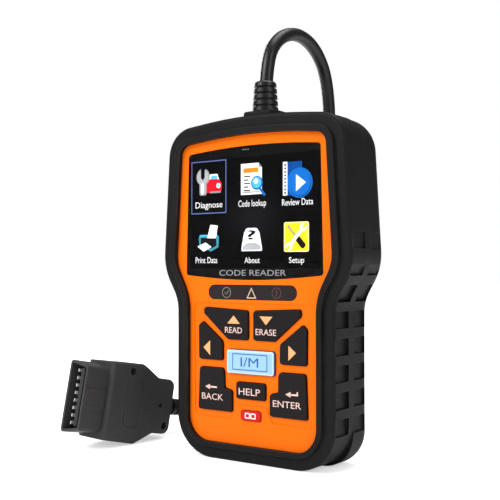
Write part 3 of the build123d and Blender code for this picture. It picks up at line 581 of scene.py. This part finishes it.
def wordMesh(words, x0, x1, z0, z1, thick, weight=0.0):
    # lettering that fills the box from (x0, z0) to (x1, z1); weight makes its strokes bolder
    curve = bpy.data.curves.new("printWord", "FONT")
    curve.body = words
    curve.size = 1.0
    curve.offset = weight
    curve.resolution_u = 3
    holder = bpy.data.objects.new("printWord", curve)
    mesh = bpy.data.meshes.new_from_object(holder)
    xs = [v.co.x for v in mesh.vertices]
    ys = [v.co.y for v in mesh.vertices]
    across, up = (x1 - x0) / (max(xs) - min(xs)), (z1 - z0) / (max(ys) - min(ys))
    curve.extrude = thick / 2 * mm
    bpy.data.meshes.remove(mesh)
    mesh = bpy.data.meshes.new_from_object(holder)
    bpy.data.objects.remove(holder)
    bpy.data.curves.remove(curve)
    low = (min(xs), min(ys))
    for vertex in mesh.vertices:
        vertex.co.x = (x0 + (vertex.co.x - low[0]) * across) * mm
        vertex.co.y = (z0 + (vertex.co.y - low[1]) * up) * mm
    return mesh


def flatLayer(ink, outlines, face, thick):
    return ink, flatMesh(outlines, thick), face, thick


def makePrint(name, body, layers, back=False):
    # layers are (finish, mesh, y of its outer face, thickness), joined into one piece
    built = bmesh.new()
    inks = []
    for ink, mesh, face, thick in layers:
        mesh.transform(Matrix.Rotation(math.pi / 2, 4, "X"))
        if back:
            mesh.transform(Matrix.Rotation(math.pi, 4, "Z"))
            mesh.transform(Matrix.Translation((0, (face - thick / 2) * mm, 0)))
        else:
            mesh.transform(Matrix.Translation((0, (face + thick / 2) * mm, 0)))
        if ink not in inks:
            inks.append(ink)
        first = len(built.faces)
        built.from_mesh(mesh)
        built.faces.ensure_lookup_table()
        for polygon in built.faces[first:]:
            polygon.material_index = inks.index(ink)
        bpy.data.meshes.remove(mesh)
    bmesh.ops.remove_doubles(built, verts=built.verts, dist=2e-6)
    bmesh.ops.recalc_face_normals(built, faces=built.faces)
    result = bpy.data.meshes.new(name)
    built.to_mesh(result)
    built.free()
    for ink in inks:
        result.materials.append(ink)
    piece = addObject(name, result)
    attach(piece, body)
    return piece


# printed legends of the keys
inkLooks = {
    "keyInk": {"colour": linear(240, 205, 196), "worn": linear(226, 186, 176), "amount": 0.5, "patch": 160.0,
               "roughness": 0.55, "specular": 0.3, "depth": 0.000004},
    "arrowInk": {"colour": linear(236, 176, 120), "worn": linear(226, 162, 104), "amount": 0.5, "patch": 160.0,
                 "roughness": 0.55, "specular": 0.3, "depth": 0.000004},
    "whiteInk": {"colour": linear(250, 244, 244), "worn": linear(240, 228, 228), "amount": 0.4, "patch": 160.0,
                 "roughness": 0.5, "specular": 0.3, "depth": 0.000004},
    "blueInk": {"colour": linear(8, 92, 164), "worn": linear(6, 80, 150), "amount": 0.4, "patch": 160.0,
                "roughness": 0.5, "specular": 0.3, "depth": 0.000004},
    "paleBlueFace": {"colour": linear(152, 196, 226), "worn": linear(142, 186, 220), "amount": 0.35,
                     "patch": 60.0, "roughness": 0.34, "specular": 0.4, "depth": 0.000008},
    "borderInk": {"colour": linear(6, 6, 7), "worn": linear(9, 9, 10), "roughness": 0.3, "specular": 0.2,
                  "depth": 0.000002},
    "greyGreenInk": {"colour": linear(124, 130, 120), "worn": linear(108, 114, 106), "amount": 0.4,
                     "patch": 160.0, "roughness": 0.5, "depth": 0.000004},
    "creamInk": {"colour": linear(204, 184, 150), "worn": linear(186, 166, 134), "amount": 0.4,
                 "patch": 160.0, "roughness": 0.5, "depth": 0.000004},
    "darkRedInk": {"colour": linear(92, 48, 46), "worn": linear(82, 42, 40), "amount": 0.4,
                   "patch": 160.0, "roughness": 0.5, "depth": 0.000004},
    "labelInk": {"colour": linear(40, 42, 46), "worn": linear(58, 60, 64), "amount": 0.4,
                 "patch": 120.0, "roughness": 0.5, "depth": 0.000004},
}
inks = {name: mouldedFinish(name, look) for name, look in inkLooks.items()}
screenBlack = displayBlack({"dark": linear(6, 6, 7), "glow": linear(40, 40, 43), "middle": (0.0, 0.0, 0.122),
                            "reach": (0.026, 0.05, 0.022)})

legendThick = 0.05
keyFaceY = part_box("key_up")[0].y / mm - 0.03
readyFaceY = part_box("key_ready")[0].y / mm - 0.03
arrowHeads = {
    # key, apex, then the two ends of the base
    "key_up": [(-10.2, 73.0), (-14.1, 68.9), (-6.4, 68.9)],
    "key_down": [(9.4, 68.8), (5.6, 73.0), (13.3, 73.0)],
    "key_left": [(-29.4, 56.2), (-25.1, 59.9), (-25.1, 52.3)],
    "key_right": [(26.8, 56.1), (22.5, 59.5), (22.5, 52.3)],
}
keyWords = {
    # key, words, left, right, bottom, top
    "key_up": ("READ", -15.6, -5.0, 64.2, 67.1),
    "key_down": ("ERASE", 3.3, 15.4, 63.8, 66.8),
    "key_back": ("BACK", -30.4, -16.8, 29.8, 33.0),
    "key_enter": ("ENTER", 13.5, 29.5, 29.6, 32.7),
    "key_help": ("HELP", -7.0, 5.9, 33.8, 37.1),
}


returnArrows = {
    # left end, right end and middle height; only the enter key's tail turns up
    "key_back": (-28.2, -20.8, 36.3, False),
    "key_enter": (20.7, 27.9, 36.1, True),
    "headLength": 3.0, "headHalf": 1.35, "shaftStart": 2.6, "shaftHalf": 0.42, "hookRise": 1.5, "hookWidth": 0.8,
}


def returnArrow(look, key):
    x0, x1, z, hook = look[key]
    half, neck = look["shaftHalf"], x0 + look["shaftStart"]
    back, spread = x0 + look["headLength"], look["headHalf"]
    head = [(x0, z), (back, z + spread), (back, z - spread)]
    tail = [(neck, z - half), (x1, z - half)]
    if hook:
        inner = x1 - look["hookWidth"]
        tail += [(x1, z + look["hookRise"]), (inner, z + look["hookRise"]), (inner, z + half)]
    else:
        tail.append((x1, z + half))
    return [head, tail + [(neck, z + half)]]


def makeKeyLegends():
    for key in ("key_up", "key_down", "key_left", "key_right", "key_back", "key_enter", "key_help"):
        layers = []
        if key in arrowHeads:
            layers.append(flatLayer(inks["arrowInk"], [arrowHeads[key]], keyFaceY, legendThick))
        if key in keyWords:
            words, left, right, bottom, top = keyWords[key]
            mesh = wordMesh(words, left, right, bottom, top, legendThick)
            layers.append((inks["keyInk"], mesh, keyFaceY, legendThick))
        if key in returnArrows:
            for outline in returnArrow(returnArrows, key):
                layers.append(flatLayer(inks["keyInk"], [outline], keyFaceY, legendThick))
        makePrint("legend_" + key[4:], key, layers)


readyKey = {"halfWidth": 13.2, "low": 45.2, "high": 54.9, "corner": 0.7, "faceRise": 0.14, "frameHalf": 10.6,
            "frameLow": 46.0, "frameHigh": 54.2, "frameCorner": 0.4, "line": 0.45, "innerCorner": 0.25,
            "words": (-5.5, 5.2, 47.8, 52.4)}


def makeReadyKeyFace(look):
    face = flatMesh([roundedBox(-look["halfWidth"], look["low"], look["halfWidth"], look["high"],
                                look["corner"])],
                    look["faceRise"])
    outer = roundedBox(-look["frameHalf"], look["frameLow"], look["frameHalf"], look["frameHigh"],
                       look["frameCorner"])
    line = look["line"]
    inner = roundedBox(-look["frameHalf"] + line, look["frameLow"] + line, look["frameHalf"] - line,
                       look["frameHigh"] - line, look["innerCorner"])
    top = readyFaceY - look["faceRise"] + 0.05
    layers = [(inks["paleBlueFace"], face, top, look["faceRise"]),
              (inks["blueInk"], flatMesh([outer, inner], legendThick), top - 0.02, legendThick),
              (inks["blueInk"], wordMesh("I/M", *look["words"], legendThick), top - 0.02, legendThick)]
    makePrint("ready_key_face", "key_ready", layers)


def makeRedKeySymbol():
    layers = []
    for x in (-1.7, 1.7):
        outer = roundedBox(x - 1.55, 22.3, x + 1.55, 25.1, 0.5)
        inner = roundedBox(x - 1.0, 22.85, x + 1.0, 24.55, 0.3)
        layers.append(flatLayer(inks["whiteInk"], [outer, inner], keyFaceY, legendThick))
    makePrint("legend_red", "key_red", layers)


makeKeyLegends()
makeReadyKeyFace(readyKey)
makeRedKeySymbol()

# symbols under the status window
stripSymbols = {"radius": 2.75, "line": 0.34, "places": [(-15.4, 84.4), (0.0, 84.0), (15.0, 84.5)]}


def makeStripSymbols(look):
    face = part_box("light_strip")[0].y / mm - 0.02
    r, line = look["radius"], look["line"]
    (x1, z1), (x2, z2), (x3, z3) = look["places"]
    ring = [disc(x1, z1, r), disc(x1, z1, r - line)]
    tick = stroke([(x1 - 1.3, z1 + 0.1), (x1 - 0.3, z1 - 1.0), (x1 + 1.4, z1 + 1.1)], line)
    outerTriangle = [(x2, z2 + 3.1), (x2 - 3.0, z2 - 2.4), (x2 + 3.0, z2 - 2.4)]
    innerTriangle = [(x2, z2 + 2.1), (x2 - 2.1, z2 - 1.85), (x2 + 2.1, z2 - 1.85)]
    redRing = [disc(x3, z3, r), disc(x3, z3, r - line)]
    bar = roundedBox(x3 - 0.28, z3 - 0.5, x3 + 0.28, z3 + 1.5, 0.2)
    point = disc(x3, z3 - 1.25, 0.34)
    layers = [flatLayer(inks[ink], outlines, face, legendThick) for ink, outlines in (
        ("greyGreenInk", ring), ("greyGreenInk", [tick]), ("creamInk", [outerTriangle, innerTriangle]),
        ("darkRedInk", redRing), ("darkRedInk", [bar]), ("darkRedInk", [point]))]
    makePrint("strip_symbols", "reader", layers)


makeStripSymbols(stripSymbols)
print("legends printed")

# black border printed behind the lens
lensShape = {"halfTop": 40.0, "halfBottom": 41.4, "low": 93.2, "high": 155.7, "bowLow": 2.5, "bowHigh": 2.2,
             "window": (-39.7, 96.6, 39.7, 152.6), "words": (-20.6, 20.0, 92.9, 95.8), "dots": (-5.6, 156.2),
             "film": 0.03, "face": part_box("display_lens")[1].y / mm - 0.1}


def lensOutline(look, inwards, steps=24):
    points = []
    for side, z, half, bow in ((1, look["high"], look["halfTop"], look["bowHigh"]),
                               (-1, look["low"], look["halfBottom"], look["bowLow"])):
        for i in range(steps + 1):
            share = 1 - 2 * i / steps
            x = side * share * (half - inwards)
            points.append((x, z + side * (bow * (1 - share * share) - inwards)))
    return points


def makeLensBorder(look):
    # inside the back of the lens, with a window for the picture
    x0, z0, x1, z1 = look["window"]
    ring = flatMesh([lensOutline(look, 0.15), roundedBox(x0, z0, x1, z1, 0.8)], look["film"])
    left, right, bottom, top = look["words"]
    words = wordMesh("CODE READER", left, right, bottom, top, look["film"])
    dots = flatMesh([disc(look["dots"][0] + i * 1.5, look["dots"][1], 0.3, 10) for i in range(3)], look["film"])
    # the printed words and dots glow: painted light standing in for the studio light on the print under the lens
    makePrint("lens_border", "reader",
              [(inks["borderInk"], ring, look["face"], look["film"]),
               (glow["glowGrey"], words, look["face"] - 0.04, look["film"]),
               (glow["glowPale"], dots, look["face"] - 0.04, look["film"])])


# picture on the display: plain pictograms of the reader's six functions
glowLooks = {
    "glowWhite": (linear(244, 244, 244), 0.85), "glowPale": (linear(176, 178, 180), 0.75),
    "glowGrey": (linear(150, 150, 152), 0.75), "glowSlate": (linear(92, 104, 160), 0.85),
    "glowRed": (linear(226, 20, 38), 0.85), "glowCyan": (linear(84, 186, 214), 0.85),
    "glowBlue": (linear(14, 104, 190), 0.9), "glowNavy": (linear(10, 70, 140), 0.9),
    "glowOrange": (linear(214, 134, 24), 0.9), "glowYellow": (linear(236, 210, 36), 0.9),
    "glowInk": (linear(24, 24, 26), 0.3), "glowTeal": (linear(62, 146, 166), 0.85),
    "glowCream": (linear(250, 240, 170), 0.9),
}
glow = {name: glowingInk(name, *look) for name, look in glowLooks.items()}
makeLensBorder(lensShape)


def spannerOutline(head, mouth, handle, low, high):
    # upright open-ended spanner: radius of its head, half of its mouth, half of its handle
    middle = high - head
    start, end = math.degrees(math.acos(mouth / head)), -math.degrees(math.acos(handle / head))
    side = disc(0, middle, head, 14, start, end)
    right = [(0, middle - 0.45 * head), (mouth * 0.9, middle - 0.1 * head)] + side
    right += [(handle, low + 0.7), (handle - 0.6, low)]
    return right + [(-x, z) for x, z in reversed(right[1:])]


def pictogramRepair(x, z):
    body = [(-1.0, -5.6), (8.2, -5.6), (9.0, -4.0), (9.0, -1.0), (7.6, 0.8), (5.8, 1.3), (1.2, 1.3), (-1.0, 0.4)]
    roof = [(0.4, 1.0), (1.4, 3.9), (6.2, 3.9), (7.4, 1.0)]
    glass = [(1.8, 1.3), (2.4, 3.2), (5.8, 3.2), (6.5, 1.3)]
    bumper = [(1.6, -5.9), (8.4, -5.9), (8.6, -5.0), (1.6, -5.0)]
    big = spannerOutline(4.4, 1.5, 2.3, -6.8, 7.2)
    shine = [(-1.2, -6.2), (0.3, -6.2), (0.3, -0.6), (-1.2, -0.6)]
    return [("glowWhite", [placed(roof, x, z)]), ("glowCyan", [placed(glass, x, z)]),
            ("glowRed", [placed(body, x, z)]), ("glowGrey", [placed(bumper, x, z)]),
            ("glowWhite", [disc(x + 7.0, z - 2.2, 1.35)]), ("glowCyan", [disc(x + 7.0, z - 2.2, 0.7)]),
            ("glowGrey", [placed(big, x - 3.0, z)]), ("glowPale", [placed(big, x - 3.2, z + 0.25, 0, 0.88)]),
            ("glowWhite", [placed(shine, x - 3.0, z)])]


def pictogramCodes(x, z):
    sheet = [(-6.5, -7.8), (6.3, -7.8), (6.3, 5.6), (4.4, 7.8), (-6.5, 7.8)]
    fold = [(4.4, 7.8), (4.4, 5.6), (6.3, 5.6)]
    layers = [("glowWhite", [placed(sheet, x, z)]), ("glowGrey", [placed(fold, x, z)]),
              ("glowOrange", [roundedBox(x - 5.0, z + 3.1, x + 4.2, z + 5.5, 0.5)])]
    for row in range(5):
        low = z + 1.0 - row * 1.75
        layers.append(("glowInk", [roundedBox(x - 4.6, low, x - (1.8 if row % 2 else 0.6), low + 0.6, 0.2)]))
    layers.append(("glowGrey", [roundedBox(x - 5.2, z - 6.9, x + 5.0, z - 6.3, 0.2)]))
    layers.append(("glowBlue", [stroke([(x + 4.6, z - 4.4), (x + 8.2, z - 8.6)], 1.3)]))
    layers.append(("glowBlue", [disc(x + 3.4, z - 2.2, 3.5)]))
    layers.append(("glowCyan", [disc(x + 3.3, z - 2.0, 2.8)]))
    layers.append(("glowWhite", [disc(x + 2.9, z - 1.3, 1.3)]))
    return layers


def pictogramReplay(x, z):
    layers = [("glowNavy", [roundedBox(x - 8.8, z - 6.0, x + 1.4, z + 10.4, 0.6)]),
              ("glowBlue", [disc(x, z, 7.3, 40)]), ("glowNavy", [disc(x + 0.3, z - 0.6, 6.2, 40)]),
              ("glowBlue", [disc(x + 0.1, z - 0.2, 6.0, 40)]),
              ("glowWhite", [[(x - 2.0, z + 4.1), (x - 2.0, z - 4.1), (x + 3.6, z)]]),
              ("glowWhite", [roundedBox(x - 9.5, z - 5.8, x - 6.9, z + 10.5, 0.3)])]
    holes = [roundedBox(x - 8.7, z - 5.0 + i * 1.7, x - 7.7, z - 4.1 + i * 1.7, 0.15, 2) for i in range(9)]
    return layers + [("glowInk", holes)]


def pictogramPrint(x, z):
    page = [(1.4, 6.9), (6.2, 6.3), (4.9, -0.2), (-0.7, 0.0)]
    shell = [(-5.6, 1.8), (5.4, 2.0), (6.9, 0.6), (6.5, -4.8), (1.6, -6.9), (-5.9, -3.6), (-6.3, 0.2)]
    mouth = [(-5.0, 0.2), (5.2, 0.2), (5.3, -4.0), (1.4, -5.6), (-5.0, -3.0)]
    sheet = [(-7.2, -4.2), (-1.8, -2.2), (2.2, -4.6), (-3.0, -6.9)]
    return [("glowTeal", [placed(shell, x, z)]), ("glowInk", [placed(mouth, x, z)]),
            ("glowCyan", [stroke([(x - 5.6, z + 1.2), (x + 5.8, z + 1.2)], 0.7)]),
            ("glowWhite", [placed(page, x, z)]), ("glowWhite", [placed(sheet, x, z)])]


def pictogramAbout(x, z):
    cap = [(-6.0, -5.7), (6.0, -5.7), (6.3, -5.0), (6.1, -3.2), (4.7, 3.4), (3.4, 5.4), (2.2, 5.8), (-2.2, 5.8),
           (-3.4, 5.4), (-4.7, 3.4), (-6.1, -3.2), (-6.3, -5.0)]
    skirt = [(-5.6, -5.1), (5.6, -5.1), (5.6, -3.4), (2.6, -1.6), (-2.6, -1.6), (-5.6, -3.4)]
    return [("glowWhite", [placed(cap, x, z)]), ("glowPale", [placed(skirt, x, z)])]


def pictogramSetup(x, z):
    driver = [(-0.7, 7.6), (0.7, 7.6), (0.45, 5.6), (0.45, 0.6), (-0.45, 0.6), (-0.45, 5.6)]
    grip = [(-0.6, 0.8), (0.6, 0.8), (1.5, -0.8), (1.6, -6.2), (0.9, -7.2), (-0.9, -7.2), (-1.6, -6.2),
            (-1.5, -0.8)]
    half = spannerOutline(2.0, 0.8, 0.9, -2.0, 8.4)
    return [("glowCream", [roundedBox(x - 7.1, z - 7.2, x + 7.1, z + 7.2, 0.9)]),
            ("glowYellow", [roundedBox(x - 6.6, z - 6.7, x + 6.6, z + 6.7, 0.7)]),
            ("glowGrey", [placed(driver, x, z, 42, 0.95)]), ("glowInk", [placed(grip, x, z, 42, 0.95)]),
            ("glowWhite", [placed(half, x, z, -42, 0.95)]), ("glowWhite", [placed(half, x, z, 138, 0.95)])]


picture = {
    "film": 0.012,
    "selection": (-39.1, 124.8, -16.2, 152.2, 0.55),
    "words": [("Diagnose", -36.3, -18.7, 126.8, 131.0), ("Code lookup", -8.6, 8.3, 126.4, 130.7),
              ("Review Data", 17.7, 35.4, 126.9, 130.1), ("Print Data", -36.2, -21.9, 99.3, 102.4),
              ("About", -4.8, 4.5, 99.2, 102.1), ("Setup", 21.7, 30.3, 98.2, 102.0)],
    "question": (-3.0, 2.2, 110.9, 115.6),
    "pictograms": [(pictogramRepair, -28.2, 141.2), (pictogramCodes, -0.5, 141.2), (pictogramReplay, 27.8, 137.7),
                   (pictogramPrint, -27.8, 112.2), (pictogramAbout, -0.4, 110.9), (pictogramSetup, 25.9, 111.7)],
}


def makePicture(look):
    film = look["film"]
    face = lensShape["face"]
    x0, z0, x1, z1 = lensShape["window"]
    layers = [(screenBlack, flatMesh([roundedBox(x0 - 0.3, z0 - 0.3, x1 + 0.3, z1 + 0.3, 0.8)], film),
               face + 0.06, film)]
    x0, z0, x1, z1, line = look["selection"]
    frameLoops = [roundedBox(x0, z0, x1, z1, 0.3), roundedBox(x0 + line, z0 + line, x1 - line, z1 - line, 0.2)]
    layers.append(flatLayer(glow["glowSlate"], frameLoops, face, film))
    for draw, x, z in look["pictograms"]:
        for level, (ink, outlines) in enumerate(draw(x, z)):
            layers.append(flatLayer(glow[ink], outlines, face - 0.03 * level, film))
    left, right, bottom, top = look["question"]
    layers.append((glow["glowInk"], wordMesh("?", left, right, bottom, top, film, 0.01), face - 0.12, film))
    for words, left, right, bottom, top in look["words"]:
        layers.append((glow["glowWhite"], wordMesh(words, left, right, bottom, top, film), face, film))
    makePrint("display_picture", "reader", layers)


makePicture(picture)
print("display picture made")


# repeated small pieces: a row of blocks along a line
def rowTree():
    tree = bpy.data.node_groups.new("rowOfBlocks", "GeometryNodeTree")
    for label, kind, value in (("Count", "NodeSocketInt", 8), ("Start", "NodeSocketVector", None),
                               ("Step", "NodeSocketVector", None), ("Size", "NodeSocketVector", None),
                               ("Finish", "NodeSocketMaterial", None)):
        socket = tree.interface.new_socket(label, in_out="INPUT", socket_type=kind)
        if value is not None:
            socket.default_value = value
    tree.interface.new_socket("Geometry", in_out="OUTPUT", socket_type="NodeSocketGeometry")
    source = tree.nodes.new("NodeGroupInput")
    result = tree.nodes.new("NodeGroupOutput")
    line = tree.nodes.new("GeometryNodeMeshLine")
    block = tree.nodes.new("GeometryNodeMeshCube")
    spread = tree.nodes.new("GeometryNodeInstanceOnPoints")
    solid = tree.nodes.new("GeometryNodeRealizeInstances")
    paint = tree.nodes.new("GeometryNodeSetMaterial")
    for start, end in ((source.outputs["Count"], line.inputs["Count"]),
                       (source.outputs["Start"], line.inputs["Start Location"]),
                       (source.outputs["Step"], line.inputs["Offset"]),
                       (source.outputs["Size"], block.inputs["Size"]),
                       (line.outputs["Mesh"], spread.inputs["Points"]),
                       (block.outputs["Mesh"], spread.inputs["Instance"]),
                       (spread.outputs["Instances"], solid.inputs["Geometry"]),
                       (solid.outputs["Geometry"], paint.inputs["Geometry"]),
                       (source.outputs["Finish"], paint.inputs["Material"]),
                       (paint.outputs["Geometry"], result.inputs["Geometry"])):
        tree.links.new(start, end)
    return tree


blockRow = rowTree()
socketIds = {item.name: item.identifier for item in blockRow.interface.items_tree if item.in_out == "INPUT"}


def blockRowMesh(count, start, step, size, finish):
    holder = addObject("rowHolder", bpy.data.meshes.new("rowHolder"))
    modifier = holder.modifiers.new("rowOfBlocks", "NODES")
    modifier.node_group = blockRow
    modifier[socketIds["Count"]] = count
    for label, value in (("Start", start), ("Step", step), ("Size", size)):
        modifier[socketIds[label]] = [part * mm for part in value]
    modifier[socketIds["Finish"]] = finish
    shaped = holder.evaluated_get(bpy.context.evaluated_depsgraph_get())
    mesh = bpy.data.meshes.new_from_object(shaped)
    bpy.data.objects.remove(holder)
    return mesh


def joinMeshes(name, body, meshes, finish):
    built = bmesh.new()
    for mesh in meshes:
        built.from_mesh(mesh)
        bpy.data.meshes.remove(mesh)
    for polygon in built.faces:
        polygon.material_index = 0
    result = bpy.data.meshes.new(name)
    built.to_mesh(result)
    built.free()
    result.materials.append(finish)
    piece = addObject(name, result)
    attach(piece, body)
    return piece


chipLegs = {"pitch": 0.8, "leg": (1.2, 0.25, 0.35),
            "chips": [(-14, 112, 14, 14), (10, 118, 10, 12), (28, 104, 6, 5), (28, 92, 6, 5), (-32, 96, 7, 6),
                      (18, 60, 8, 6)]}


def makeChipLegs(look):
    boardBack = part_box("main_board")[1].y / mm
    meshes = []
    for x, z, width, height in look["chips"]:
        count = int((height - 1) / look["pitch"])
        low = z - look["pitch"] * (count - 1) / 2
        for side in (-1, 1):
            start = (x + side * (width / 2 + 0.5), boardBack + 0.14, low)
            meshes.append(blockRowMesh(count, start, (0, 0, look["pitch"]), look["leg"],
                                       finishes["part_aluminium"]))
    joinMeshes("chip_legs", "reader", meshes, finishes["part_aluminium"])


makeChipLegs(chipLegs)
print("repeated pieces made")

# rear label: a plain frame, a direct-current symbol and blank lines
rearLabel = {"half": 26.6, "low": 107.4, "high": 136.6, "line": 0.35, "rowWidths": (30.0, 24.0, 34.0, 18.0, 27.0),
             "rowStart": -22.0, "rowTop": 5.5, "rowHeight": 0.9, "rowPitch": 3.6}


def makeLabelPrint(look):
    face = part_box("rear_label")[1].y / mm + 0.03
    thick = 0.05
    outer = roundedBox(-look["half"], look["low"], look["half"], look["high"], 1.4)
    inner = roundedBox(-look["half"] + look["line"], look["low"] + look["line"], look["half"] - look["line"],
                       look["high"] - look["line"], 1.1)
    layers = [flatLayer(inks["labelInk"], [outer, inner], face, thick)]
    for row, width in enumerate(look["rowWidths"]):
        z = look["high"] - look["rowTop"] - row * look["rowPitch"]
        line = roundedBox(look["rowStart"], z, look["rowStart"] + width, z + look["rowHeight"], 0.2)
        layers.append(flatLayer(inks["labelInk"], [line], face, thick))
    symbol = [roundedBox(13.0, 128.6, 21.0, 129.3, 0.1)]
    symbol += [roundedBox(13.0 + i * 3.0, 127.0, 15.0 + i * 3.0, 127.6, 0.1) for i in range(3)]
    layers += [flatLayer(inks["labelInk"], [outline], face, thick) for outline in symbol]
    makePrint("rear_label_print", "reader", layers, back=True)


makeLabelPrint(rearLabel)
print("rear label printed")
